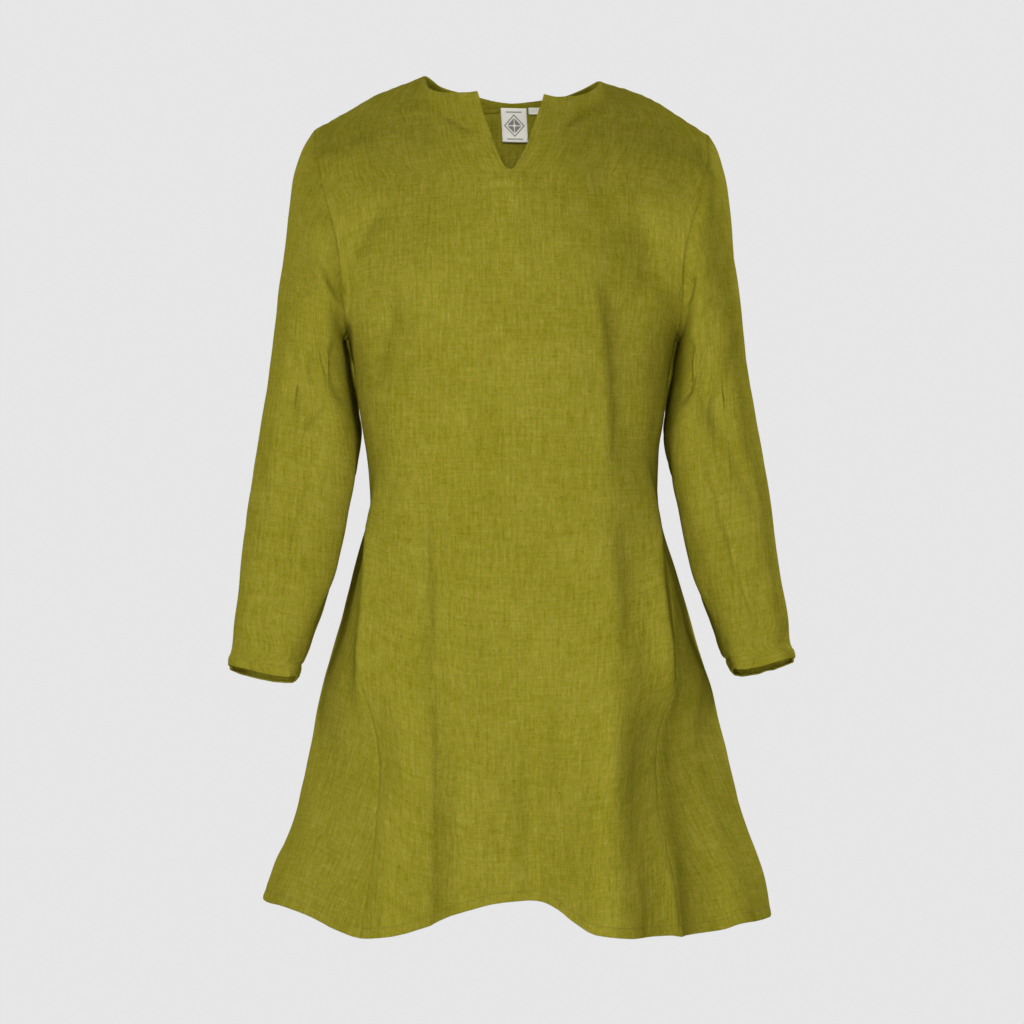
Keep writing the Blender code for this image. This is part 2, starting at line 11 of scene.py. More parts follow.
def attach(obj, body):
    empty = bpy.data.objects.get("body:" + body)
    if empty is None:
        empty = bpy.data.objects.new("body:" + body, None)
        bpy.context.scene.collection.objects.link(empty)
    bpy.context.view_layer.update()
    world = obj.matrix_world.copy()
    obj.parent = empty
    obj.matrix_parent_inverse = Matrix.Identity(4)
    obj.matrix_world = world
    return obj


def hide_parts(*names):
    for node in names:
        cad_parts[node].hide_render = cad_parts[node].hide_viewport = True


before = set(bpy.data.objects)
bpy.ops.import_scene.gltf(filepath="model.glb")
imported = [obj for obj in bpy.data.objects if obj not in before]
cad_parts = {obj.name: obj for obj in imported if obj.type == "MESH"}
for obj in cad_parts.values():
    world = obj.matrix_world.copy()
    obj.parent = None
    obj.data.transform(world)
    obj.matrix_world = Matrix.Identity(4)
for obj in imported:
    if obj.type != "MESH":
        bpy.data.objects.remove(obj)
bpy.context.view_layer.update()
print("frame loaded:", sorted(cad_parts))

right, left = -1, 1  # the wearer's right is on -X


# curves and grids

def smoothStep(t):
    t = np.clip(t, 0.0, 1.0)
    return t * t * (3 - 2 * t)


def risen(value, start, over):  # 0 up to start, 1 from start + over on
    return smoothStep((value - start) / over)


def bendBetween(values, slopes, i, t, width):  # between row i and the next, t runs from 0 to 1
    return (
        values[i] * (1 - 3 * t**2 + 2 * t**3)
        + values[i + 1] * (3 * t**2 - 2 * t**3)
        + width * (slopes[i] * (t - 2 * t**2 + t**3) + slopes[i + 1] * (t**3 - t**2))
    )


def curveThrough(keys, values, at):  # a smooth curve through values at rising keys
    keys, values, at = np.asarray(keys, float), np.asarray(values, float), np.asarray(at, float)
    places = np.clip(at.ravel(), keys[0], keys[-1])
    table = values.reshape(len(keys), -1)
    steps = np.diff(table, axis=0) / np.diff(keys)[:, None]
    slopes = np.vstack([steps[:1], (steps[:-1] + steps[1:]) / 2, steps[-1:]])
    i = np.clip(np.searchsorted(keys, places) - 1, 0, len(keys) - 2)
    width = (keys[i + 1] - keys[i])[:, None]
    t = (places - keys[i])[:, None] / width
    return bendBetween(table, slopes, i, t, width).reshape(at.shape + values.shape[1:])


def along(points, shares):  # points at shares of the length of a smooth curve
    points = np.asarray(points, float)
    reached = np.concatenate([[0], np.cumsum(np.linalg.norm(np.diff(points, axis=0), axis=1))])
    return curveThrough(reached, points, np.asarray(shares, float) * reached[-1])


def blendWeights(knots, at):  # one row for each place: how much of each knot's value it takes
    knots, at = np.asarray(knots, float), np.asarray(at, float)
    n, h = len(knots), np.diff(knots)
    step, slope = np.zeros((n - 1, n)), np.zeros((n, n))
    for k in range(n - 1):
        step[k, k], step[k, k + 1] = -1 / h[k], 1 / h[k]
    for k in range(1, n - 1):
        slope[k] = (step[k - 1] * h[k] + step[k] * h[k - 1]) / (h[k - 1] + h[k])
    slope[0] = step[0] - (step[1] - step[0]) * h[0] / (h[0] + h[1])
    slope[-1] = step[-1] + (step[-1] - step[-2]) * h[-1] / (h[-1] + h[-2])
    i = np.clip(np.searchsorted(knots, at) - 1, 0, n - 2)
    return bendBetween(np.eye(n), slope, i, ((at - knots[i]) / h[i])[:, None], h[i][:, None])


def unit(v):
    return v / np.maximum(np.linalg.norm(v, axis=-1, keepdims=True), 1e-12)


def graded(length, step, nearLow=(), nearHigh=()):  # places from 0 to length, closer together at the ends
    low, high = np.array([0.0, *nearLow]), length - np.array([0.0, *nearHigh])[::-1]
    count = max(2, int(round((high[0] - low[-1]) / step)))
    middle = np.linspace(low[-1], high[0], count + 1)
    return np.concatenate([low[:-1], middle, high[1:]])


# the tunic's shape, as in the part's source

Section = namedtuple("Section", "height right left front back squareness")
Fold = namedtuple("Fold", "angleTop angleHem spread top push")
Ring = namedtuple(
    "Ring", "outerRight outerLeft outerHeight innerRight innerLeft innerHeight middle depth lean")
Crease = namedtuple("Crease", "start end angleStart angleEnd spread push")

bodyShape = {
    "sections": [
        Section(-0.979, 0.296, 0.309, 0.168, 0.165, 2.55),
        Section(-0.918, 0.277, 0.297, 0.160, 0.158, 2.50),
        Section(-0.846, 0.250, 0.271, 0.150, 0.148, 2.45),
        Section(-0.774, 0.233, 0.250, 0.143, 0.138, 2.40),
        Section(-0.702, 0.221, 0.231, 0.137, 0.128, 2.35),
        Section(-0.631, 0.204, 0.213, 0.131, 0.117, 2.30),
        Section(-0.560, 0.186, 0.192, 0.125, 0.106, 2.30),
        Section(-0.507, 0.171, 0.176, 0.121, 0.099, 2.30),
        Section(-0.471, 0.168, 0.171, 0.119, 0.097, 2.30),
        Section(-0.436, 0.170, 0.171, 0.120, 0.098, 2.30),
        Section(-0.407, 0.175, 0.175, 0.122, 0.101, 2.30),
        Section(-0.348, 0.184, 0.183, 0.126, 0.107, 2.30),
        Section(-0.299, 0.193, 0.192, 0.128, 0.111, 2.30),
    ],
    "underarm": -0.299,
    "frontCorners": 0.065,  # how much squarer the front hangs between underarm and hips
    "cornersFrom": (-0.76, 0.09),  # the height where that starts, and over how much it grows
    "cornersUpTo": (-0.305, 0.06),  # the height where it has ended, and over how much it fades
    "hem": [  # angle from the front centre towards the wearer's left, height
        (-180, -0.957), (-150, -0.962), (-125, -0.968), (-100, -0.970), (-82, -0.960), (-65, -0.9535),
        (-52, -0.957), (-43, -0.964), (-36, -0.970), (-29, -0.9735), (-23, -0.969), (-15, -0.9575),
        (-8, -0.946), (0, -0.936), (5, -0.938), (8, -0.948), (12, -0.961), (16, -0.966),
        (25, -0.9705), (38, -0.974), (45, -0.977), (56, -0.968), (70, -0.970), (85, -0.978),
        (100, -0.976), (125, -0.971), (150, -0.963), (180, -0.957),
    ],
    "goreSeams": [  # rise, then the angles of the right front, left front, right back and left back seam
        (0.000, 29.0, 35.5, 152.0, 150.0), (0.120, 30.0, 36.0, 150.0, 148.0),
        (0.250, 34.0, 38.0, 146.0, 144.0), (0.400, 43.0, 45.5, 137.0, 136.0),
        (0.500, 50.0, 52.0, 130.0, 129.0), (0.600, 59.5, 61.0, 121.0, 120.0),
        (0.670, 71.0, 72.0, 109.0, 108.0), (0.713, 90.0, 90.0, 90.0, 90.0),
    ],
    "goreTop": 0.713,
    "folds": [
        Fold(-41, -20, 8, -0.36, 0.017),
        Fold(-27, -11, 5, -0.36, -0.010),
        Fold(2, 2, 10, -0.52, -0.027),
        Fold(36, 18, 7, -0.28, 0.022),
        Fold(30, 34, 6, -0.58, 0.010),
        Fold(58, 43, 6, -0.55, -0.013),
        Fold(84, 62, 11, -0.60, 0.010),
        Fold(-74, -46, 12, -0.60, -0.006),
        Fold(-96, -100, 12, -0.62, 0.008),
        Fold(104, 100, 12, -0.62, -0.006),
        Fold(-118, -128, 9, -0.52, -0.012),
        Fold(122, 126, 9, -0.52, 0.012),
        Fold(-142, -151, 8, -0.46, 0.018),
        Fold(-160, -166, 7, -0.50, -0.012),
        Fold(176, 179, 8, -0.50, 0.014),
        Fold(160, 165, 7, -0.50, -0.013),
        Fold(142, 150, 8, -0.46, 0.018),
    ],
    "columns": 11,
    "neckColumns": 5,
    "skirtRows": 16,
    "waistRows": 6,
    "yokeRows": (0.0, 0.1, 0.2, 0.3, 0.4, 0.5, 0.6, 0.72, 0.85, 0.97, 1.0),
    "slitRow": 6,
    "relaxPasses": 6,
}
yokeShape = {  # points that serve both sides are for the wearer's left, and turned for the right
    "neckPoint": {right: (-0.1018, 0.0, 0.0046), left: (0.1028, 0.0, -0.0010)},
    "shoulderRise": {right: 0.005, left: 0.008},
    "shoulderTip": {right: (-0.2285, 0.005, -0.0560), left: (0.2265, 0.005, -0.0620)},
    "slitEnd": (-0.0022, -0.1130, -0.1090),
    "slitEdge": {
        right: [
            (-0.0062, -0.1122, -0.1073), (-0.0106, -0.1110, -0.1025), (-0.0132, -0.1100, -0.0975),
            (-0.0193, -0.1050, -0.0840), (-0.0280, -0.0960, -0.0600), (-0.0340, -0.0890, -0.0440),
            (-0.0377, -0.0820, -0.0285),
        ],
        left: [
            (0.0022, -0.1122, -0.1072), (0.0060, -0.1105, -0.1010), (0.0094, -0.1090, -0.0960),
            (0.0159, -0.1050, -0.0850), (0.0236, -0.0980, -0.0650), (0.0294, -0.0910, -0.0486),
            (0.0336, -0.0850, -0.0359),
        ],
    },
    "slitCorner": {right: (-0.0401, -0.078, -0.0204), left: (0.0374, -0.078, -0.0235)},
    "frontNeck": {
        right: [
            (-0.0505, -0.0722, -0.0210), (-0.0636, -0.0640, -0.0206), (-0.0749, -0.0535, -0.0198),
            (-0.0864, -0.0405, -0.0172), (-0.0966, -0.0210, -0.0108),
        ],
        left: [
            (0.0495, -0.0725, -0.0258), (0.0608, -0.0660, -0.0253), (0.0722, -0.0560, -0.0238),
            (0.0854, -0.0400, -0.0192), (0.0970, -0.0190, -0.0110),
        ],
    },
    "backNeckCentre": (0.0, 0.0750, -0.0229),
    "backNeck": {
        right: [
            (-0.0131, 0.0748, -0.0219), (-0.0264, 0.0730, -0.0195), (-0.0372, 0.0710, -0.0167),
            (-0.0600, 0.0620, -0.0120), (-0.0853, 0.0370, -0.0058), (-0.0950, 0.0190, 0.0008),
        ],
        left: [
            (0.0131, 0.0748, -0.0222), (0.0250, 0.0730, -0.0210), (0.0372, 0.0710, -0.0193),
            (0.0600, 0.0620, -0.0165), (0.0840, 0.0380, -0.0090), (0.0950, 0.0200, -0.0042),
        ],
    },
    "frontCentre": [(0.0, -0.1265, -0.235), (0.0, -0.1215, -0.165)],
    "backCentre": [(0.0, 0.115, -0.240), (0.0, 0.114, -0.180), (0.0, 0.105, -0.120), (0.0, 0.089, -0.062)],
    "frontArmhole": [
        (0.1925, -0.036, -0.286), (0.1945, -0.062, -0.256), (0.1960, -0.079, -0.206),
        (0.2035, -0.078, -0.166), (0.2160, -0.062, -0.127), (0.2240, -0.036, -0.090),
    ],
    "backArmhole": [
        (0.1930, 0.038, -0.284), (0.1965, 0.066, -0.250), (0.2010, 0.081, -0.200),
        (0.2080, 0.077, -0.155), (0.2180, 0.060, -0.116), (0.2250, 0.036, -0.085),
    ],
}
sleeveShape = {
    "rings": [
        Ring(0.2410, 0.2350, -0.076, 0.1968, 0.1958, -0.3035, 0.001, 0.084, 0),
        Ring(0.2536, 0.2470, -0.110, 0.1955, 0.1945, -0.3125, 0.002, 0.084, 0),
        Ring(0.2600, 0.2535, -0.151, 0.1930, 0.1922, -0.3260, 0.003, 0.083, 0),
        Ring(0.2657, 0.2586, -0.195, 0.1905, 0.1897, -0.3430, 0.005, 0.081, 0),
        Ring(0.2720, 0.2639, -0.243, 0.1870, 0.1863, -0.3640, 0.007, 0.079, 0),
        Ring(0.2772, 0.2699, -0.298, 0.1828, 0.1822, -0.3900, 0.009, 0.077, 0),
        Ring(0.2853, 0.2771, -0.355, 0.1793, 0.1790, -0.4190, 0.010, 0.074, 0),
        Ring(0.2962, 0.2875, -0.413, 0.1838, 0.1860, -0.4570, 0.009, 0.070, 1),
        Ring(0.3065, 0.2995, -0.472, 0.1936, 0.1965, -0.5000, 0.006, 0.065, 3),
        Ring(0.3137, 0.3075, -0.530, 0.2035, 0.2068, -0.5460, 0.001, 0.059, 5),
        Ring(0.3195, 0.3138, -0.582, 0.2158, 0.2190, -0.5930, -0.008, 0.053, 7),
        Ring(0.3250, 0.3223, -0.627, 0.2312, 0.2352, -0.6370, -0.019, 0.046, 9),
        Ring(0.3283, 0.3252, -0.6600, 0.2460, 0.2508, -0.6745, -0.030, 0.039, 11),
        Ring(0.3286, 0.3258, -0.6625, 0.2470, 0.2523, -0.6785, -0.031, 0.038, 11),
        Ring(0.3296, 0.3282, -0.6730, 0.2518, 0.2588, -0.6930, -0.036, 0.033, 12),
    ],
    "armholeShare": (0.85, 0.62, 0.40, 0.22, 0.09),  # how much of the armhole's shape the first rings keep
    "cuffLift": 0.013,
    "cuffDrop": {right: 0.009, left: 0.0},
    "cuffTilt": (0.0017, 0.0046),  # how far its front is raised and its back let down
    "underarmSharpness": 3,
    "corners": (0.145, 0.05),  # how much squarer than round it hangs in front and behind
    "cornersFrom": (0.12, 0.3),  # the share of the sleeve where that starts, and over how much it grows
    "cuffCorners": 0.24,
    "cuffCornersFrom": (0.78, 0.2),
    "cuffFrom": (0.8, 0.2),
    "dropFrom": (0.35, 0.65),
    "creases": [
        Crease(0.30, 0.56, 62, 118, 0.035, -0.0045),
        Crease(0.52, 0.78, 70, 96, 0.040, -0.0035),
        Crease(0.56, 0.74, 330, 285, 0.035, -0.0045),
        Crease(0.40, 0.60, 300, 240, 0.040, -0.0040),
    ],
}
hemLowest = bodyShape["hem"][0][1]


def foldPush(angle, height):
    total = np.zeros(np.broadcast(angle, height).shape)
    for fold in bodyShape["folds"]:
        grown = smoothStep((fold.top - height) / (fold.top - hemLowest))
        middle = fold.angleTop + (fold.angleHem - fold.angleTop) * grown
        off = (angle - middle + 180) % 360 - 180
        spread = fold.spread * (1 + 0.6 * (1 - grown))
        total = total + fold.push * grown * np.exp(-((off / spread) ** 2))
    return total


def bodyPoints(angle, rise):  # the body below the underarm; rise runs from 0 at the hem to 1 at the underarm
    angle, rise = np.broadcast_arrays(np.asarray(angle, float), np.asarray(rise, float))
    hem = curveThrough([h[0] for h in bodyShape["hem"]], [h[1] for h in bodyShape["hem"]], angle)
    height = hem + (bodyShape["underarm"] - hem) * rise
    rows = np.array(bodyShape["sections"])
    values = [curveThrough(rows[:, 0], rows[:, k], height) for k in range(1, 6)]
    toRight, toLeft, front, back, squareness = values
    power = 2 / squareness
    across, ahead = np.sin(np.radians(angle)), np.cos(np.radians(angle))
    reach, depth = np.where(across > 0, toLeft, toRight), np.where(ahead > 0, front, back)
    end, fade = bodyShape["cornersUpTo"]
    drawn = risen(height, *bodyShape["cornersFrom"]) * risen(-height, -end, fade) * (ahead > 0)
    wider = 1 + bodyShape["frontCorners"] * drawn * np.sin(2 * np.radians(angle)) ** 2
    x = np.sign(across) * reach * np.abs(across) ** power * wider
    y = -np.sign(ahead) * depth * np.abs(ahead) ** power * wider
    outward = unit(np.stack([x / reach**2, y / depth**2, 0 * x], axis=-1))
    return np.stack([x, y, height], axis=-1) + outward * foldPush(angle, height)[..., None]


def seamAngle(side, facing, rise):
    column = {(right, "front"): 1, (left, "front"): 2, (right, "back"): 3, (left, "back"): 4}[side, facing]
    rows = np.array(bodyShape["goreSeams"])
    return curveThrough(rows[:, 0], rows[:, column], rise)


def sided(points, side):
    return np.asarray(points, float) * (side, 1, 1)


def topEdge(side, facing, column):  # the neckline and then the shoulder seam, by column from the centre
    neck, tip = np.array(yokeShape["neckPoint"][side]), np.array(yokeShape["shoulderTip"][side])
    start = yokeShape["slitCorner"][side] if facing == "front" else yokeShape["backNeckCentre"]
    inner = yokeShape[facing + "Neck"][side]
    seam = [neck, (neck + tip) / 2 + (0, 0, yokeShape["shoulderRise"][side]), tip]
    split, last = bodyShape["neckColumns"], bodyShape["columns"]
    onNeck = along([start, *inner, neck], np.clip(column / split, 0, 1))
    onSeam = along(seam, np.clip((column - split) / (last - split), 0, 1))
    return np.where((column < split)[:, None], onNeck, onSeam)


def centreEdge(side, facing, start, v):  # the centre above the underarm row, in front then the slit's edge
    if facing == "back":
        return along([start, *yokeShape["backCentre"], yokeShape["backNeckCentre"]], v)
    split = bodyShape["yokeRows"][bodyShape["slitRow"]]
    below = along([start, *yokeShape["frontCentre"], yokeShape["slitEnd"]], np.clip(v / split, 0, 1))
    slit = [yokeShape["slitEnd"], *yokeShape["slitEdge"][side], yokeShape["slitCorner"][side]]
    return np.where((v <= split)[:, None], below, along(slit, np.clip((v - split) / (1 - split), 0, 1)))


def armholeEdge(side, facing, start, v):
    listed = sided(yokeShape[facing + "Armhole"], side)
    drop = yokeShape["shoulderTip"][side][2] - yokeShape["shoulderTip"][right][2]
    listed[:, 2] += drop * np.arange(1, len(listed) + 1) / (len(listed) + 1)
    return along([start, *listed, yokeShape["shoulderTip"][side]], v)


skirtLength = bodyShape["underarm"] - hemLowest
firstRise = 0.016 / skirtLength
riseStep = (bodyShape["goreTop"] - firstRise) / bodyShape["skirtRows"]
lowRises = np.concatenate([
    [0.0],
    firstRise + riseStep * np.arange(bodyShape["skirtRows"]),
    np.linspace(bodyShape["goreTop"], 1, bodyShape["waistRows"] + 1),
])
yokeRows = np.array(bodyShape["yokeRows"])
columns = bodyShape["columns"]


def coarseHalf(side, facing):  # the same rows and columns as the part's solid has
    centre = 0.0 if facing == "front" else 180.0
    edge = seamAngle(side, facing, lowRises)[:, None]
    share = np.arange(columns + 1)[None, :] / columns
    lower = bodyPoints(side * (centre + (edge - centre) * share), lowRises[:, None])
    bottom, top = lower[-1], topEdge(side, facing, np.arange(columns + 1.0))
    middle = centreEdge(side, facing, bottom[0], yokeRows)
    outer = armholeEdge(side, facing, bottom[-1], yokeRows)
    u, v = share[..., None], yokeRows[:, None, None]
    corners = (bottom[0] * (1 - u) + bottom[-1] * u) * (1 - v) + (top[0] * (1 - u) + top[-1] * u) * v
    upper = bottom * (1 - v) + top * v + middle[:, None] * (1 - u) + outer[:, None] * u - corners
    grid = np.concatenate([lower, upper[1:]])
    first, last = len(lower) - 2, len(grid) - 1
    for _ in range(bodyShape["relaxPasses"]):
        around = (
            grid[first - 1 : last - 1, 1:-1] + grid[first + 1 : last + 1, 1:-1]
            + grid[first:last, :-2] + grid[first:last, 2:]
        ) / 4
        grid[first:last, 1:-1] = (grid[first:last, 1:-1] + around) / 2
    return grid


# fine grids of every panel

clothBuild = {
    "step": 0.0042,  # spacing of the fine grid
    "yokeLength": 0.275,  # from the underarm row to the top edge
    "thickness": 0.0009,
    "hemThickness": 0.0021,
    "hemWidth": 0.0105,
    "neckHemWidth": 0.0055,
    "seamDip": 0.0009,
    "seamWidth": 0.0021,
    "goreWidth": 0.31,
    "topFade": 0.035,  # how far below the top edge the grid is drawn to the edge's exact curve
    "sideFade": 1.6,  # the same at the sides, in columns of the part
    "weaveShift": 0.137,  # between one piece's weave and the next one's
}
hemRows = (0.0007, 0.002, 0.0045, 0.0075, 0.0095, 0.0106, 0.0117, 0.0135, 0.0165)
edgeRows = (0.0006, 0.0015, 0.0027, 0.004, 0.0055, 0.0075)
slitRows = (0.0008, 0.002, 0.0035)
columnWidth, yokeLength = 0.0175, clothBuild["yokeLength"]
skirtFine = graded(bodyShape["goreTop"] * skirtLength, clothBuild["step"], hemRows) / skirtLength
waistLength = (1 - bodyShape["goreTop"]) * skirtLength
waistFine = graded(waistLength, clothBuild["step"]) / skirtLength + bodyShape["goreTop"]
riseFine = np.concatenate([skirtFine, waistFine[1:]])
split = bodyShape["yokeRows"][bodyShape["slitRow"]]
yokeFine = np.concatenate([
    graded(split * yokeLength, clothBuild["step"], (), slitRows[:2]) / yokeLength,
    split + graded((1 - split) * yokeLength, clothBuild["step"] * 0.8, slitRows, edgeRows)[1:] / yokeLength,
])
columnFine = graded(columns * columnWidth, clothBuild["step"], edgeRows, edgeRows[:3]) / columnWidth


def pulled(grid, delta, weights, axis):  # moves one edge to its exact curve and lets the change fade out
    if axis == "columns":
        return grid + delta[:, None, :] * weights[None, :, None]
    return grid + delta[None, :, :] * weights[:, None, None]


def fineHalf(side, facing, coarse):
    own, other = coarse[side, facing], coarse[-side, facing]
    # one more column on each side lets the curves run on over the centre and the seam
    ghostIn = 3 * own[:, 0] - 3 * own[:, 1] + own[:, 2]
    closed = len(lowRises) + bodyShape["slitRow"] if facing == "front" else len(own)
    ghostIn[:closed] = other[:closed, 1]
    ghostOut = 3 * own[:, -1] - 3 * own[:, -2] + own[:, -3]
    wide = np.concatenate([ghostIn[:, None], own, ghostOut[:, None]], axis=1)
    rowKnots = np.concatenate([lowRises * skirtLength, skirtLength + yokeRows[1:] * yokeLength])
    rowsAt = np.concatenate([riseFine * skirtLength, skirtLength + yokeFine[1:] * yokeLength])
    down = blendWeights(rowKnots, rowsAt)
    across = blendWeights(np.arange(-1.0, columns + 2), columnFine)
    grid = np.einsum("ri,ijk,cj->rck", down, wide, across)
    fade = 1 - smoothStep((rowsAt[-1] - rowsAt) / clothBuild["topFade"])
    grid = pulled(grid, topEdge(side, facing, columnFine) - grid[-1], fade, "rows")
    centre = 0.0 if facing == "front" else 180.0
    bottom = own[len(lowRises) - 1]
    inEdge = np.concatenate([
        bodyPoints(side * centre, riseFine), centreEdge(side, facing, bottom[0], yokeFine[1:])
    ])
    outEdge = np.concatenate([
        bodyPoints(side * seamAngle(side, facing, riseFine), riseFine),
        armholeEdge(side, facing, bottom[-1], yokeFine[1:]),
    ])
    sideFade = clothBuild["sideFade"]
    grid = pulled(grid, inEdge - grid[:, 0], 1 - smoothStep(columnFine / sideFade), "columns")
    return pulled(grid, outEdge - grid[:, -1], 1 - smoothStep((columns - columnFine) / sideFade), "columns")


def fineGore(side):
    start, end = seamAngle(side, "front", skirtFine), seamAngle(side, "back", skirtFine)
    width = clothBuild["goreWidth"]
    share = graded(width, clothBuild["step"], edgeRows[:3], edgeRows[:3]) / width
    return bodyPoints(side * (start[:, None] + (end - start)[:, None] * share[None, :]), skirtFine[:, None])


def fineSleeve(side, frontEdge, backEdge):  # the armhole's edges, up from the underarm
    loop = np.concatenate([frontEdge, backEdge[-2:0:-1], frontEdge[:1]])
    index = np.interp(yokeFine, yokeRows, np.arange(len(yokeRows)))
    lastTurn = 2.0 * (len(yokeRows) - 1)
    turn = np.concatenate([index, lastTurn - index[-2:0:-1], [lastTurn]]) * math.tau / lastTurn
    low, high = loop[0], loop[len(frontEdge) - 1]
    centre, reach = (low + high) / 2, np.linalg.norm(high - low) / 2
    outward = unit(high - low)
    forward = np.array((0.0, -1.0, 0.0))
    forward = unit(forward - outward * forward.dot(outward))
    away = loop - centre
    ownOut, ownAhead = away @ outward / reach, away @ forward
    ownAhead, ownAside = ownAhead / np.abs(ownAhead).max(), away @ np.cross(outward, forward)
    rings = [loop]
    for n, ring in enumerate(sleeveShape["rings"]):
        outer = ring.outerLeft if side == left else ring.outerRight
        inner = ring.innerLeft if side == left else ring.innerRight
        outPoint = np.array((side * outer, ring.middle, ring.outerHeight))
        inPoint = np.array((side * inner, ring.middle, ring.innerHeight))
        centre, reach = (outPoint + inPoint) / 2, np.linalg.norm(outPoint - inPoint) / 2
        outward = unit(outPoint - inPoint)
        lean = math.radians(ring.lean)
        forward = np.array((0.0, -math.cos(lean), math.sin(lean)))
        forward = unit(forward - outward * forward.dot(outward))
        share = (n + 1) / len(sleeveShape["rings"])
        keep = sleeveShape["armholeShare"][n] if n < len(sleeveShape["armholeShare"]) else 0.0
        push = np.zeros(len(loop))
        for crease in sleeveShape["creases"]:
            t = (np.degrees(turn) - crease.angleStart) / (crease.angleEnd - crease.angleStart)
            middle = crease.start + (crease.end - crease.start) * t
            bump = np.sin(np.pi * np.clip(t, 0, 1)) * np.exp(-(((share - middle) / crease.spread) ** 2))
            push += crease.push * np.where((t > 0) & (t < 1), bump, 0)
        scale = (1 + push / reach)[:, None]
        flatter = np.where(np.sin(turn) > 0, *sleeveShape["corners"])
        squarer = sleeveShape["cuffCorners"] - flatter
        flatter = flatter + squarer * risen(share, *sleeveShape["cuffCornersFrom"])
        wider = 1 + flatter * risen(share, *sleeveShape["cornersFrom"]) * np.sin(2 * turn) ** 2
        out = (ownOut * keep - np.cos(turn) * wider * (1 - keep))[:, None]
        forth = (ownAhead * keep + np.sin(turn) * wider * (1 - keep))[:, None]
        points = centre + outward * (reach * out * scale) + forward * (ring.depth * forth * scale)
        points = points + np.cross(outward, forward) * (ownAside * keep)[:, None]
        atCuff, fore = risen(share, *sleeveShape["cuffFrom"]), np.sin(turn)
        points[:, 2] += sleeveShape["cuffLift"] * atCuff * (
            np.maximum(0, np.cos(turn)) ** sleeveShape["underarmSharpness"]
        )
        points[:, 2] -= sleeveShape["cuffDrop"][side] * risen(share, *sleeveShape["dropFrom"])
        raised, dropped = sleeveShape["cuffTilt"]
        points[:, 2] += atCuff * np.where(fore > 0, raised, -dropped) * np.abs(fore) ** 0.6
        rings.append(points)
    rings = np.array(rings)
    gaps = np.linalg.norm(np.diff(rings, axis=0), axis=2).mean(axis=1)
    knots = np.concatenate([[0], np.cumsum(gaps)])
    rowsAt = graded(knots[-1], clothBuild["step"], edgeRows[:3], hemRows)
    return np.einsum("ri,ijk->rjk", blendWeights(knots, rowsAt), rings)


coarse = {(s, f): coarseHalf(s, f) for s in (right, left) for f in ("front", "back")}
halves = {key: fineHalf(*key, coarse) for key in coarse}
lowCount = len(riseFine)  # rows below the underarm; then the slit's first row and the neck's last column
slitFine = lowCount - 1 + int(np.searchsorted(yokeFine, split - 1e-9))
neckFine = int(np.searchsorted(columnFine, bodyShape["neckColumns"]))
armholes = {key: half[lowCount - 1 :, -1] for key, half in halves.items()}
grids = {
    "frontPanel": [halves[right, "front"], halves[left, "front"]],
    "backPanel": [halves[right, "back"], halves[left, "back"]],
    "goreRight": [fineGore(right)],
    "goreLeft": [fineGore(left)],
    "sleeveRight": [fineSleeve(right, armholes[right, "front"], armholes[right, "back"])],
    "sleeveLeft": [fineSleeve(left, armholes[left, "front"], armholes[left, "back"])],
}
turned = {  # grids whose rows and columns run the other way round and so face inwards
    "frontPanel": [True, False], "backPanel": [False, True], "goreRight": [True], "goreLeft": [False],
    "sleeveRight": [False], "sleeveLeft": [True],
}
print("grids:", {name: [g.shape[:2] for g in parts] for name, parts in grids.items()})


# shared normals

def flatIndex():  # every grid point's number among the distinct points of the whole tunic
    points = np.concatenate([g.reshape(-1, 3) for parts in grids.values() for g in parts])
    keys, number = np.unique(np.round(points * 1e5).astype(np.int64), axis=0, return_inverse=True)
    return number.ravel(), len(keys)


def gridFaces(rows, count, flip, start=0):
    at = start + np.arange(rows * count).reshape(rows, count)
    faces = np.stack([at[:-1, :-1], at[:-1, 1:], at[1:, 1:], at[1:, :-1]], axis=-1).reshape(-1, 4)
    return faces[:, ::-1] if flip else faces


def allFaces():
    start, faces = 0, []
    for name, parts in grids.items():
        for grid, flip in zip(parts, turned[name]):
            faces.append(gridFaces(*grid.shape[:2], flip, start))
            start += grid.shape[0] * grid.shape[1]
    return np.concatenate(faces)


number, distinct = flatIndex()
quads = allFaces()


def sharedNormals(points):  # points holds the grids one after the other
    normal = np.cross(points[quads[:, 2]] - points[quads[:, 0]], points[quads[:, 3]] - points[quads[:, 1]])
    total = np.zeros((distinct, 3))
    for corner in range(4):
        np.add.at(total, number[quads[:, corner]], normal)
    return unit(total)[number]


# creases that the photograph shows, and like ones where it shows nothing

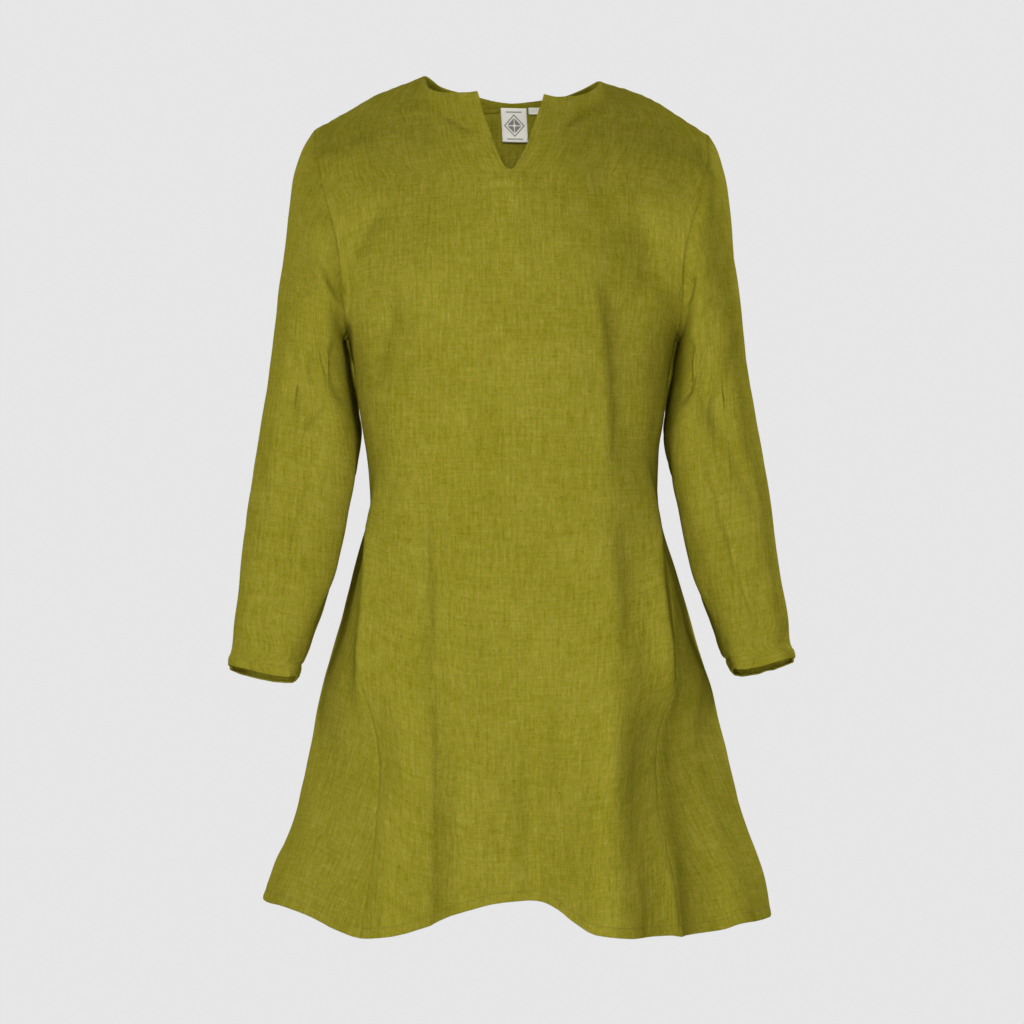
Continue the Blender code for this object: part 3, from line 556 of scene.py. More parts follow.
# path: in millimetres, across and up, or ahead and up for the right and left faces
# width: in millimetres, one number or one for each side of the path (-X or -Y side, +X or +Y side)
# depth: in millimetres, outwards; crisp: 1 for a soft roll, near 0 for a pressed edge
Line = namedtuple("Line", "path width depth crisp fade", defaults=(1, "both"))
creaseLines = {  # by the pieces that they are on and the side that they are seen from
    ("body", "front"): [
        # the middle
        Line([(1, -180), (2, -289), (1, -400)], 7, 1.0),
        Line([(-19, -144), (-18, -255), (-19, -400)], 7, -3.5),
        Line([(-36, -119), (0, -121), (34, -119)], 3.0, 2.5),
        Line([(-40, -134), (0, -136), (38, -135)], 5.0, 1.8),
        # from the neck
        Line([(-84, -38), (-66, -52), (-34, -68)], 4, -4.5, 0.5),
        Line([(-99, -16), (-96, -50), (-92, -92)], 10, -1.0, 0.7),
        Line([(98, -30), (86, -52), (60, -76)], (5, 6), 1.0, 0.5),
        Line([(84, -30), (74, -46), (52, -62)], 4, -5.5, 0.6),
        Line([(105, -22), (102, -60), (96, -100)], 9, 2.5, 0.8),
        # the chest's sides
        Line([(-143, -136), (-159, -158), (-173, -186), (-177, -215)], (10, 15), -8.0, 0.7),
        Line([(-108, -220), (-117, -277), (-121, -316), (-122, -360), (-118, -420)], (36, 46), -2.5, 0.25),
        Line([(-127, -228), (-149, -300), (-157, -360)], 16, -5.5, 0.5),
        Line([(90, -208), (96, -250), (104, -300), (109, -350), (110, -410), (110, -480)],
             (19, 7), 6.0, 0.25),
        Line([(111, -205), (119, -255), (124, -310), (127, -370), (130, -420), (132, -480)],
             (24, 34), -11.0, 0.6),
        Line([(136, -140), (154, -180), (165, -215), (176, -262)], (29, 22), -12.5),
        Line([(-60, -222), (-112, -222), (-160, -240)], 42, 5.0),
        Line([(60, -222), (112, -222), (160, -240)], 34, 0.5),
        # the skirt, wearer's right
        Line([(-104, -400), (-98, -470), (-96, -560), (-95, -660)], (28, 8), 1.0, 0.4),
        Line([(-90, -430), (-88, -515), (-86, -606), (-87, -700)], (4, 7), -6.5, 0.4),
        Line([(-96, -640), (-93, -720), (-92, -820), (-93, -900), (-94, -975)],
             (19, 7), 5.6, 0.25, fade="start"),
        Line([(-84, -640), (-80, -720), (-82, -800), (-84, -880), (-86, -970)],
             (6, 22), 2.5, 0.3, fade="start"),
        Line([(-58, -735), (-70, -790), (-82, -850)], (6, 8), 0.6, 0.5),
        Line([(-136, -780), (-140, -880), (-142, -975)], (58, 31), 8.0, 0.15, fade="start"),
        Line([(-183, -690), (-191, -780), (-199, -880), (-207, -980)], (44, 54), 4.0, 0.8, fade="start"),
        # the skirt, wearer's left
        Line([(111, -480), (115, -545), (117, -610), (119, -690)], (30, 9), 2.0, 0.2),
        Line([(126, -480), (130, -545), (133, -620), (134, -690)], (9, 24), -3.5, 0.6),
        Line([(117, -660), (115, -755), (109, -829), (102, -904), (98, -980)], 57, 17.0, 0.15, fade="start"),
        Line([(210, -676), (217, -723), (223, -780), (229, -860), (236, -980)],
             (60, 55), -17.0, 0.8, fade="start"),
        Line([(146, -690), (153, -790), (163, -880), (172, -980)], (31, 26), -11.0, fade="start"),
        Line([(40, -440), (43, -547), (38, -640)], 8, -0.8),
        Line([(52, -640), (58, -727), (56, -830)], 15, 7.5),
        Line([(21, -730), (25, -850), (27, -960)], (15, 13), -10.5, fade="start"),
        Line([(-30, -560), (-28, -660), (-34, -780)], 12, -0.8),
        # the turned edges between the front and the gores at the hips
        Line([(151, -420), (162, -518), (166, -585), (176, -656), (186, -740)], (22, 9), 16.0, 0.3),
        Line([(-150, -430), (-158, -545), (-162, -605), (-169, -665), (-178, -745)], (9, 20), 16.0, 0.3),
        # the front's turned edges under the arms
        Line([(-178, -322), (-170, -347), (-160, -404), (-154, -450), (-154, -500), (-163, -560)],
             (7, 40), 1.5, 0.2),
        Line([(178, -322), (170, -347), (160, -404), (155, -450), (154, -500), (163, -560)],
             (40, 7), 0.5, 0.2),
    ],
    ("body", "left"): [
        # the hollow behind the front's turned edge, and the cloth beside it
        Line([(-24, -450), (-27, -550), (-28, -640), (-30, -715)], 30, -11.0, 0.8),
        Line([(26, -445), (32, -550), (34, -640), (36, -745)], (26, 30), 2.0),
        # the skirt's side
        Line([(-90, -884), (0, -884), (90, -884)], 40, -3.2),
        Line([(6, -700), (14, -790), (20, -880)], 16, 1.0),
        Line([(40, -600), (52, -730), (60, -890)], 12, -2.4, 0.7),
    ],
    ("body", "right"): [
        # the hollow behind the front's turned edge, and the cloth beside it
        Line([(-24, -450), (-27, -550), (-28, -640), (-30, -715)], 30, -12.5, 0.8),
        Line([(26, -445), (32, -550), (34, -640), (36, -745)], (26, 30), 2.0),
        # the skirt's side
        Line([(-90, -884), (0, -884), (90, -884)], 40, -5.0),
        Line([(-4, -700), (-14, -780), (-22, -880)], 20, 1.5),
        Line([(38, -600), (50, -740), (60, -900)], 12, -2.4, 0.7),
    ],
    ("sleeves", "front"): [
        # the inner edges
        Line([(-180, -400), (-184, -452), (-199, -522), (-218, -592), (-236, -645)], (15, 3), 9.0, 0.2),
        Line([(180, -400), (188, -452), (203, -522), (222, -592), (240, -645)], (3, 9), 8.5, 0.2),
        # the elbows and forearms
        Line([(-264, -285), (-254, -330), (-242, -365), (-229, -405)], (13, 12), -6.0),
        Line([(-215, -310), (-210, -350), (-208, -400)], (19, 16), -3.5, 1.2),
        Line([(-190, -290), (-184, -330), (-176, -380)], (40, 33), -11.5),
        Line([(-214, -372), (-244, -398), (-272, -408)], 7, -3.0),
        Line([(-302, -554), (-289, -589), (-282, -650)], 7, -2.8),
        Line([(-208, -462), (-233, -487), (-262, -494)], 7, 0.5),
        Line([(-212, -500), (-236, -520), (-268, -524)], 9, -0.5),
        Line([(-295, -420), (-287, -470), (-290, -520)], 10, -2.2),
        Line([(263, -285), (253, -330), (242, -365), (229, -405)], (12, 13), -5.0),
        Line([(211, -310), (206, -350), (204, -400)], (20, 22), -5.0, 1.2),
        Line([(192, -290), (185, -330), (176, -380)], (20, 24), -14.0),
        Line([(218, -380), (247, -404), (270, -408)], 14, -3.8),
        Line([(257, -430), (274, -473), (285, -512)], 8, -3.0),
        Line([(291, -550), (285, -601), (281, -647)], 8, -2.3),
        Line([(214, -486), (240, -508), (268, -512)], 8, -1.1),
    ],
    ("all", "front"): [
        # the shoulders
        Line([(-232, -104), (-202, -92), (-178, -84), (-152, -74)], (11, 22), 4.5, 0.9),
        Line([(233, -112), (201, -98), (178, -90), (152, -80)], (20, 13), 4.0),
        # where sleeves and body meet
        Line([(-231, -198), (-210, -242), (-180, -287)], 8, 7.5, 0.6),
        Line([(-250, -262), (-223, -247), (-201, -232)], 4.5, 2.6, 0.8),
        Line([(-212, -222), (-204, -245), (-199, -264)], (5, 6), -4.0, 0.6),
        Line([(240, -196), (219, -240), (190, -285)], 6, -1.5, 0.6),
        Line([(247, -262), (222, -247), (202, -232)], 4.5, -1.5, 0.8),
        Line([(209, -222), (202, -245), (197, -264)], (4, 3), -9.0, 0.6),
        Line([(-235, -100), (-225, -136), (-210, -170)], 8, -4.6),
        Line([(233, -95), (223, -136), (211, -170)], 9, 6.5),
    ],
    ("sleeves", "back"): [
        # swollen towards the body
        Line([(-195, -288), (-190, -320), (-184, -360), (-180, -398)], 12, 9.5),
        Line([(-192, -300), (-188, -340), (-182, -380), (-179, -410), (-180, -448)], 14, 9.0),
        Line([(195, -288), (190, -320), (184, -360), (180, -398)], 12, 8.5),
        Line([(192, -300), (188, -340), (182, -380), (179, -410), (181, -445)], 14, 8.5),
        Line([(-195, -288), (-191, -305), (-186, -334)], 12, 9.5),
        Line([(195, -288), (190, -312), (184, -344)], 12, 10.5),
        # like the front's
        Line([(-262, -300), (-250, -360), (-236, -410)], 8, -2.2, 0.6),
        Line([(262, -290), (252, -350), (240, -404)], 8, -2.2, 0.6),
        Line([(-300, -455), (-270, -486), (-232, -492)], 8, -1.8, 0.6),
        Line([(296, -462), (268, -488), (234, -490)], 8, -1.8, 0.6),
        Line([(-304, -500), (-274, -520), (-240, -518)], 7, -1.4, 0.6),
        Line([(300, -506), (272, -522), (242, -516)], 7, -1.4, 0.6),
    ],
    ("all", "back"): [
        # the armpits, which close towards the body
        Line([(-197, -262), (-194, -287), (-189, -314)], 9, 4.0),
        Line([(197, -262), (194, -287), (189, -314)], 9, 4.0),
        # like the front's
        Line([(-236, -190), (-216, -240), (-188, -290)], 6, 1.8, 0.7),
        Line([(238, -196), (218, -238), (190, -286)], 6, 1.8, 0.7),
        Line([(-214, -210), (-202, -250), (-192, -292)], 7, -3.0, 0.7),
        Line([(216, -206), (204, -252), (194, -290)], 7, -3.0, 0.7),
    ],
    ("body", "back"): [
        Line([(-3, -120), (2, -230), (0, -360)], 9, -0.8),
        Line([(-96, -190), (-106, -300), (-112, -420), (-106, -560)], (12, 30), 3.2, 0.4),
        Line([(-84, -350), (-88, -460), (-80, -600), (-72, -740)], (14, 10), -2.8, 0.6),
        Line([(98, -200), (108, -310), (110, -430), (104, -580)], (30, 12), 3.0, 0.4),
        Line([(82, -330), (90, -450), (84, -590), (74, -720)], (10, 14), -2.6, 0.6),
        Line([(-60, -405), (-10, -440), (52, -412)], (9, 12), -2.4, 0.6),
        Line([(-78, -452), (-6, -476), (66, -448)], (9, 13), -1.9, 0.6),
        Line([(-30, -60), (-58, -100), (-90, -132)], 8, -1.2, 0.6),
        Line([(30, -62), (60, -96), (94, -126)], 8, -1.2, 0.6),
        Line([(20, -560), (16, -700), (24, -860)], 14, -1.6),
        Line([(-132, -640), (-140, -760), (-150, -880), (-156, -975)], (30, 26), 3.4, 0.25, fade="start"),
        Line([(128, -640), (138, -760), (150, -880), (158, -975)], (26, 30), 3.4, 0.25, fade="start"),
    ],
    ("sleeves", "right"): [
        Line([(-40, -150), (-10, -230), (16, -330)], 12, -1.4, 0.8),
        Line([(44, -430), (10, -470), (-30, -480)], 9, -1.8, 0.6),
        Line([(36, -480), (4, -514), (-34, -520)], 9, -1.4, 0.6),
    ],
    ("sleeves", "left"): [
        Line([(-36, -160), (-8, -240), (20, -320)], 12, -1.4, 0.8),
        Line([(46, -436), (12, -474), (-28, -486)], 9, -1.8, 0.6),
        Line([(38, -486), (6, -518), (-32, -528)], 9, -1.4, 0.6),
    ],
}


creaseBuild = {
    "samples": 15,  # along each path
    "reach": 4.0,  # in widths
    "sideBlend": 0.003,  # over which the width of one side passes into that of the other, in metres
    "sharpness": 1.4,
    "facing": 0.45,  # how much the cloth has to face the view for the whole depth
}


def lineField(points, normals, piece):
    total = np.zeros(len(points))
    group = "sleeves" if piece.startswith("sleeve") else "body"
    views = {
        "front": ([0, 2], -normals[:, 1]), "back": ([0, 2], normals[:, 1]),
        "right": ([1, 2], -normals[:, 0]), "left": ([1, 2], normals[:, 0]),
    }
    build = creaseBuild
    lines = [
        (face, line) for (on, face), rows in creaseLines.items() if on in ("all", group) for line in rows
    ]
    for face, line in lines:
        axes, facing = views[face]
        path = along(np.array(line.path) / 1000, np.linspace(0, 1, build["samples"]))
        below, above = np.broadcast_to(np.asarray(line.width, float), 2) / 1000
        flat, wide = points[:, axes], build["reach"] * max(below, above)
        low, high = path.min(axis=0) - wide, path.max(axis=0) + wide
        near = np.flatnonzero((flat > low).all(axis=1) & (flat < high).all(axis=1) & (facing > 0.02))
        if not len(near):
            continue
        p, a, ab = flat[near][:, None], path[:-1], np.diff(path, axis=0)
        t = np.clip(((p - a) * ab).sum(axis=2) / (ab**2).sum(axis=1), 0, 1)
        off = p - (a + ab * t[..., None])
        distance = np.linalg.norm(off, axis=2)
        best, pick = distance.argmin(axis=1), np.arange(len(near))
        distance, share = distance[pick, best], (best + t[pick, best]) / len(ab)
        offBest, abBest = off[pick, best], ab[best] * np.where(ab[best][:, 1:] > 0, -1, 1)
        sideways = abBest[:, 0] * offBest[:, 1] - abBest[:, 1] * offBest[:, 0]
        mixed = smoothStep(0.5 + sideways / np.linalg.norm(abBest, axis=1) / build["sideBlend"])
        reach = distance / (below + (above - below) * mixed)
        fade = smoothStep(share * 3) * (1 if line.fade == "start" else smoothStep((1 - share) * 3))
        profile = np.exp(line.crisp - np.sqrt((build["sharpness"] * reach) ** 2 + line.crisp**2))
        total[near] += line.depth / 1000 * fade * profile * smoothStep(facing[near] / build["facing"])
    return total


def softWaves(points, scale, seed, count=26):  # gentle uneven swelling, longer down the cloth than across it
    rng = np.random.default_rng(seed)
    total = np.zeros(len(points))
    for _ in range(count):
        direction = unit(rng.normal(size=3) * (1, 1, 0.42))
        rate = math.tau / (scale * rng.uniform(0.7, 1.5))
        total += np.sin(points @ direction * rate + rng.uniform(0, math.tau))
    return total / math.sqrt(count / 2)


def nearest(points, targets):  # distance from each point to the nearest target
    tree = KDTree(len(targets))
    for k, p in enumerate(targets):
        tree.insert(p, k)
    tree.balance()
    return np.array([tree.find(p)[2] for p in points])


def edgePoints(name):  # the seams, the hemmed edges and the neck's edges of one piece
    parts = grids[name]
    if name.startswith("gore"):
        g = parts[0]
        return [g[:, 0], g[:, -1]], [g[0]], []
    if name.startswith("sleeve"):
        g = parts[0]
        return [g[0], g[:, 0]], [g[-1]], []
    seams = [s for g in parts for s in (g[:, -1], g[-1, neckFine:])]
    neck = [g[-1, : neckFine + 1] for g in parts]
    if name == "frontPanel":
        neck += [g[slitFine:, 0] for g in parts]
    return seams, [g[0] for g in parts], neck


def densified(lines):  # edge points close enough together for distances
    return np.concatenate([part for line in lines for part in (line, (line[:-1] + line[1:]) / 2)])


clothDetail = {  # heights and lengths in metres
    "swell": (0.00055, 0.085), "smallSwell": (0.00022, 0.032), "rippleLength": 0.011,
    "seamRipple": 0.00022, "seamReach": 0.007,
    "hemDip": 0.00035, "hemDipWidth": 0.0011, "hemRipple": 0.00026,
    "hemReach": (0.009, 0.008),  # where the ripple starts to fade, and over how much
    "neckDip": 0.00025, "neckDipPlace": 0.004, "neckDipWidth": 0.001, "neckRipple": 0.00018,
    "neckReach": (0.003, 0.006),
    "foldEdge": 0.0012,  # over how much the turned edges thin out to single cloth
}
detail = {}
start = 0
everything = np.concatenate([g.reshape(-1, 3) for parts in grids.values() for g in parts])
firstNormals = sharedNormals(everything)
moved = everything.copy()
for name, parts in grids.items():
    size = sum(g.shape[0] * g.shape[1] for g in parts)
    here = slice(start, start + size)
    start += size
    points, normals = everything[here], firstNormals[here]
    seams, hems, neck = edgePoints(name)
    seamGap, hemGap = nearest(points, densified(seams)), nearest(points, densified(hems))
    neckGap = nearest(points, densified(neck)) if neck else np.full(size, 1.0)
    fine = clothDetail
    ripple = softWaves(points, fine["rippleLength"], 5)
    (swell, long), (smallSwell, short) = fine["swell"], fine["smallSwell"]
    shift = lineField(points, normals, name)
    shift += swell * softWaves(points, long, 1) + smallSwell * softWaves(points, short, 2)
    shift -= clothBuild["seamDip"] * np.exp(-((seamGap / clothBuild["seamWidth"]) ** 2))
    shift += fine["seamRipple"] * ripple * np.exp(-((seamGap / fine["seamReach"]) ** 2))
    shift -= fine["hemDip"] * np.exp(-(((hemGap - clothBuild["hemWidth"]) / fine["hemDipWidth"]) ** 2))
    shift += fine["hemRipple"] * ripple * (1 - risen(hemGap, *fine["hemReach"]))
    shift -= fine["neckDip"] * np.exp(-(((neckGap - fine["neckDipPlace"]) / fine["neckDipWidth"]) ** 2))
    shift += fine["neckRipple"] * ripple * (1 - risen(neckGap, *fine["neckReach"]))
    moved[here] = points + normals * shift[:, None]
    pastFold = np.minimum(hemGap - clothBuild["hemWidth"], neckGap - clothBuild["neckHemWidth"])
    folded = 1 - smoothStep(pastFold / fine["foldEdge"])
    thick = clothBuild["thickness"] + (clothBuild["hemThickness"] - clothBuild["thickness"]) * folded
    detail[name] = {"slice": here, "thickness": thick}
clothNormals = sharedNormals(moved)
print("folds and seams:", len(moved), "points")


# materials

class Wire:  # a socket that can be reckoned with
    def __init__(self, shop, socket):
        self.shop, self.socket = shop, socket

    def reckon(self, operation, *others, flip=False):
        inputs = [*others, self] if flip else [self, *others]
        return self.shop.maths(operation, *inputs)

    def __add__(self, other):
        return self.reckon("ADD", other)

    def __sub__(self, other):
        return self.reckon("SUBTRACT", other)

    def __rsub__(self, other):
        return self.reckon("SUBTRACT", other, flip=True)

    def __mul__(self, other):
        return self.reckon("MULTIPLY", other)

    __radd__, __rmul__ = __add__, __mul__


class Shop:  # one material's nodes
    def __init__(self, name):
        self.material = bpy.data.materials.new(name)
        self.material.use_nodes = True
        self.tree = self.material.node_tree
        self.shader = self.tree.nodes["Principled BSDF"]

    def add(self, kind, settings=None, inputs=None, out=0):
        node = self.tree.nodes.new(kind)
        for key, value in (settings or {}).items():
            setattr(node, key, value)
        for key, value in (inputs or {}).items():
            self.feed(node.inputs[key], value)
        return Wire(self, node.outputs[out])

    def noise(self, place, scale, detailLevel, **more):
        inputs = {"Vector": place, "Scale": scale, "Detail": detailLevel, **more}
        return self.add("ShaderNodeTexNoise", None, inputs)

    def mixed(self, share, first, second):  # colours
        return self.add("ShaderNodeMix", {"data_type": "RGBA"}, {0: share, 6: first, 7: second}, 2)

    def maths(self, operation, *wires):
        return self.add("ShaderNodeMath", {"operation": operation}, dict(enumerate(wires)))

    def clothPlace(self):  # the cloth's own coordinates, whole and split
        uv = self.add("ShaderNodeUVMap", {"uv_map": "clothUv"})
        u = self.add("ShaderNodeSeparateXYZ", None, {0: uv}, 0)
        return uv, u, Wire(self, u.socket.node.outputs[1])

    def feed(self, socket, value):
        if isinstance(value, Wire):
            self.tree.links.new(value.socket, socket)
        else:
            socket.default_value = value

    def finish(self, **values):
        for key, value in values.items():
            self.feed(self.shader.inputs[key.replace("_", " ")], value)
        return self.material


linenLook = {
    "dark": (0.152, 0.132, 0.0002, 1.0),
    "light": (0.336, 0.288, 0.0430, 1.0),
    "green": (0.208, 0.222, 0.0060, 1.0),
    "speck": (0.090, 0.075, 0.0060, 1.0),
    "warpStreaks": 0.56,
    "weftStreaks": 0.34,
    "speckle": 0.34,
    "cloud": 0.40,
    "warpRates": ((410, 130, 0.0), (300, 30, 3.1)),  # waves a metre across and along, and an offset
    "weftRates": ((120, 560, 7.3), (24, 380, 11.7)),
    "grainScale": 480.0,
    "mottleScale": 70.0,
    "cloudScale": 11.0,
    "hueScale": 190.0,
    "knotScale": 410.0,
    "greener": (0.42, 0.72, 0.5),  # from and to which value of its noise, and how much of it
    "knotted": (0.775, 0.84, 0.7),
    "threadPitch": 0.00062,
    "weaveDepth": 0.00013,
    "roughness": 0.88,
}


# shade below 1 darkens the whole linen colour: painted shade for cloth that sits in shadow
def linen(name, shade=1.0):
    look, shop = linenLook, Shop(name)
    uv, u, v = shop.clothPlace()

    def streaks(acrossRate, alongRate, offset):
        place = shop.add("ShaderNodeCombineXYZ", None, {0: u * acrossRate, 1: v * alongRate, 2: offset})
        return shop.noise(place, 1.0, 1.0, Roughness=0.55) - 0.5

    def patches(noise, limits):
        low, high, most = limits
        return shop.add("ShaderNodeMapRange", None, {0: noise, 1: low, 2: high, 3: 0.0, 4: most})

    fineWarp, longWarp = (streaks(*rates) for rates in look["warpRates"])
    weft, longWeft = (streaks(*rates) for rates in look["weftRates"])
    grain = shop.noise(uv, look["grainScale"], 1.0) - 0.5
    mottle = shop.noise(uv, look["mottleScale"], 3.0, Roughness=0.6) - 0.5
    cloud = shop.noise(uv, look["cloudScale"], 2.0) - 0.5
    tone = (
        (fineWarp + longWarp * 1.2) * look["warpStreaks"] + (weft + longWeft) * look["weftStreaks"]
        + grain * look["speckle"] + (mottle + cloud) * look["cloud"] + 0.5
    )
    colour = shop.mixed(tone * shade, look["dark"], look["light"])
    hue = shop.noise(uv, look["hueScale"], 2.0, Roughness=0.6)
    colour = shop.mixed(patches(hue, look["greener"]), colour, look["green"])
    knots = shop.noise(uv, look["knotScale"], 0.0)
    colour = shop.mixed(patches(knots, look["knotted"]), colour, look["speck"])
    pitch = math.pi / look["threadPitch"]
    weave = shop.maths("SINE", u * pitch) * shop.maths("SINE", v * pitch)
    height = weave * 0.3 + (fineWarp + weft) * 0.6 + longWarp * 0.4 + mottle * 0.3
    bump = shop.add("ShaderNodeBump", None, {
        "Strength": 0.5, "Distance": look["weaveDepth"], "Height": height})
    rough = look["roughness"] + mottle * 0.12
    return shop.finish(Base_Color=colour, Roughness=rough, Normal=bump, Specular_IOR_Level=0.0)


linenCloth = linen("oliveLinen")
# the binding inside the back neck is the same linen painted darker: painted shade for the neck's shadowed
# inside
shadedLinenBinding = linen("oliveLinenBindingPaintedShade", 0.8)
print("linen ready")


# panels as thin closed shells

def placed(name, data):  # a new object in the scene
    obj = bpy.data.objects.new(name, data)
    bpy.context.scene.collection.objects.link(obj)
    return obj


def meshObject(name, verts, faces, uvs, material):
    mesh = bpy.data.meshes.new(name)
    mesh.from_pydata([tuple(v) for v in verts], [], faces)
    layer = mesh.uv_layers.new(name="clothUv")
    layer.data.foreach_set("uv", np.asarray(uvs, np.float32).ravel())
    mesh.materials.append(material)
    mesh.shade_smooth()
    mesh.update()
    return placed(name, mesh)


def clothUvs(grid, centred, levelRow=0):  # metres across and along the cloth, from a level row
    steps, rises = (np.linalg.norm(np.diff(grid, axis=k), axis=2) for k in (1, 0))
    across = np.concatenate([np.zeros((len(grid), 1)), steps.cumsum(axis=1)], axis=1)
    up = np.concatenate([np.zeros((1, grid.shape[1])), rises.cumsum(axis=0)])
    if centred:
        across = across - across[:, -1:] / 2
    return np.stack([across, up - up[levelRow]], axis=-1)


def shell(name, gridList, flips, outer, inner, uvs, bulge, material):
    # the grids' outer and inner points, closed at every free edge by a rounded rim
    keys = np.round(np.concatenate([g.reshape(-1, 3) for g in gridList]) * 1e5).astype(np.int64)
    firsts, ids = np.unique(keys, axis=0, return_index=True, return_inverse=True)[1:]
    ids, count = ids.ravel(), len(firsts)
    begin, faces = 0, []
    for grid, flip in zip(gridList, flips):
        faces.append(gridFaces(*grid.shape[:2], flip, begin))
        begin += grid.shape[0] * grid.shape[1]
    faces = np.concatenate(faces)
    faceList, cornerList = [], []
    for face in faces:
        merged, corners = [], []
        for corner in face:
            if ids[corner] not in merged:
                merged.append(int(ids[corner]))
                corners.append(int(corner))
        if len(merged) > 2:
            faceList.append(merged)
            cornerList.append(corners)
    edges = {}
    for merged, corners in zip(faceList, cornerList):
        for k in range(len(merged)):
            n = (k + 1) % len(merged)
            edges[merged[k], merged[n]] = (corners[k], corners[n])
    rim = {pair: corners for pair, corners in edges.items() if pair[::-1] not in edges}
    outerPoints, innerPoints = outer[firsts], inner[firsts]
    middle = (outerPoints + innerPoints) / 2 + bulge[firsts]
    verts = np.concatenate([outerPoints, innerPoints, middle])
    closedFaces = faceList + [[m + count for m in reversed(merged)] for merged in faceList]
    closedCorners = cornerList + [corners[::-1] for corners in cornerList]
    for (a, b), (ca, cb) in rim.items():
        rimA, rimB = a + 2 * count, b + 2 * count
        closedFaces += [[b, a, rimA, rimB], [rimB, rimA, a + count, b + count]]
        closedCorners += [[cb, ca, ca, cb], [cb, ca, ca, cb]]
    used = np.unique([m for face in closedFaces for m in face])
    renumber = np.full(3 * count, -1)
    renumber[used] = np.arange(len(used))
    closedFaces = [[int(renumber[m]) for m in face] for face in closedFaces]
    loops = np.array([c for corners in closedCorners for c in corners])
    return meshObject(name, verts[used], closedFaces, uvs[loops], material)


def rimBulge(grid, thickness, openEdges):  # how far the rim's middle stands out past each open edge
    bulge = np.zeros_like(grid)
    wide = thickness.reshape(grid.shape[:2])[..., None] * 0.5
    for edge, span in openEdges:
        if edge == "bottom":
            bulge[0, span] += (unit(grid[0] - grid[1]) * wide[0])[span]
        elif edge == "top":
            bulge[-1, span] += (unit(grid[-1] - grid[-2]) * wide[-1])[span]
        elif edge == "centre":
            bulge[span, 0] += (unit(grid[:, 0] - grid[:, 1]) * wide[:, 0])[span]
    return bulge.reshape(-1, 3)


whole, neckSpan = slice(None), slice(0, neckFine + 1)
openEdges = {
    "frontPanel": [("bottom", whole), ("top", neckSpan), ("centre", slice(slitFine + 1, None))],
    "backPanel": [("bottom", whole), ("top", neckSpan)],
    "goreRight": [("bottom", whole)],
    "goreLeft": [("bottom", whole)],
    "sleeveRight": [("top", whole)],
    "sleeveLeft": [("top", whole)],
}
pieces, movedGrids, innerGrids = {}, {}, {}
for name, parts in grids.items():
    here, thick = detail[name]["slice"], detail[name]["thickness"]
    outer, normals = moved[here], clothNormals[here]
    inner = outer - normals * thick[:, None]
    begin, bulges, uvRows = 0, [], []
    movedGrids[name], innerGrids[name] = [], []
    for grid in parts:
        size = grid.shape[0] * grid.shape[1]
        own = outer[begin : begin + size].reshape(grid.shape)
        movedGrids[name].append(own)
        innerGrids[name].append(inner[begin : begin + size].reshape(grid.shape))
        bulges.append(rimBulge(own, thick[begin : begin + size], openEdges[name]))
        levelRow = -1 if name.startswith("sleeve") else lowCount - 1 if name.endswith("Panel") else 0
        uv = clothUvs(own, name.startswith(("gore", "sleeve")), levelRow)
        if turned[name][len(movedGrids[name]) - 1]:
            uv = uv * (-1, 1)
        uvRows.append(uv.reshape(-1, 2) + (0.0, clothBuild["weaveShift"] * len(pieces)))
        begin += size
    pieces[name] = shell(
        name, parts, turned[name], outer, inner, np.concatenate(uvRows), np.concatenate(bulges), linenCloth)
    print(name, len(pieces[name].data.polygons), "faces")


# the binding, the label and the tab inside the back neck

bindingSizes = {"width": 0.0065, "thickness": 0.0007, "gap": 0.00015}


def neckBinding():
    parts, outer, inner, bulges, uvRows = [], [], [], [], []
    for k, grid in enumerate(innerGrids["backPanel"]):
        below = np.concatenate([[0], np.linalg.norm(np.diff(grid[::-1, 0], axis=0), axis=1).cumsum()])
        first = len(grid) - int(np.searchsorted(below, bindingSizes["width"])) - 1
        own = grid[first:, : neckFine + 1]
        here = detail["backPanel"]["slice"]
        size = grid.shape[0] * grid.shape[1]
        normal = clothNormals[here][k * size : (k + 1) * size].reshape(grid.shape)[first:, : neckFine + 1]
        top = own - normal * bindingSizes["gap"]
        low = top - normal * bindingSizes["thickness"]
        base = grids["backPanel"][k][first:, : neckFine + 1]
        parts.append(base)
        outer.append(top.reshape(-1, 3))
        inner.append(low.reshape(-1, 3))
        wide = np.full(base.shape[:2], bindingSizes["thickness"])
        bulges.append(rimBulge(top, wide, [("bottom", whole), ("top", whole)]))
        uvRows.append(clothUvs(base, False).reshape(-1, 2)[:, ::-1])
    return shell("backNeckBand", parts, turned["backPanel"], np.concatenate(outer), np.concatenate(inner),
                 np.concatenate(uvRows), np.concatenate(bulges), shadedLinenBinding)


pieces["backNeckBand"] = neckBinding()


def backSurface():  # the depth of the back's inside near the neck, as a smooth function of x and z
    points = np.concatenate([g.reshape(-1, 3) for g in innerGrids["backPanel"]])
    near = points[(np.abs(points[:, 0]) < 0.055) & (points[:, 2] > -0.085) & (points[:, 2] < -0.018)]

    def terms(x, z):
        return np.stack([np.ones_like(x), x, z, x * x, x * z, z * z, x * x * z, z**3], axis=-1)

    fit = np.linalg.lstsq(terms(near[:, 0], near[:, 2]), near[:, 1], rcond=None)[0]
    return lambda x, z: terms(np.asarray(x, float), np.asarray(z, float)) @ fit


behind = backSurface()
labelSizes = {
    "width": 0.0305, "length": 0.0396, "topLeft": (-0.0135, -0.0275), "swing": 3.5, "thickness": 0.0004,
    "lift": 0.0018, "curl": 0.0022,  # how far it stands off the back, and its lower end besides
}
tabSizes = {
    "width": 0.0170, "length": 0.0078, "topLeft": (0.0195, -0.0272), "swing": 2.0, "thickness": 0.0004,
    "lift": 0.0018, "curl": 0.00066,
}
ribbonShape = {"points": 25, "skew": 0.9, "droop": 0.35, "bow": 0.0003, "ripple": 0.0004}


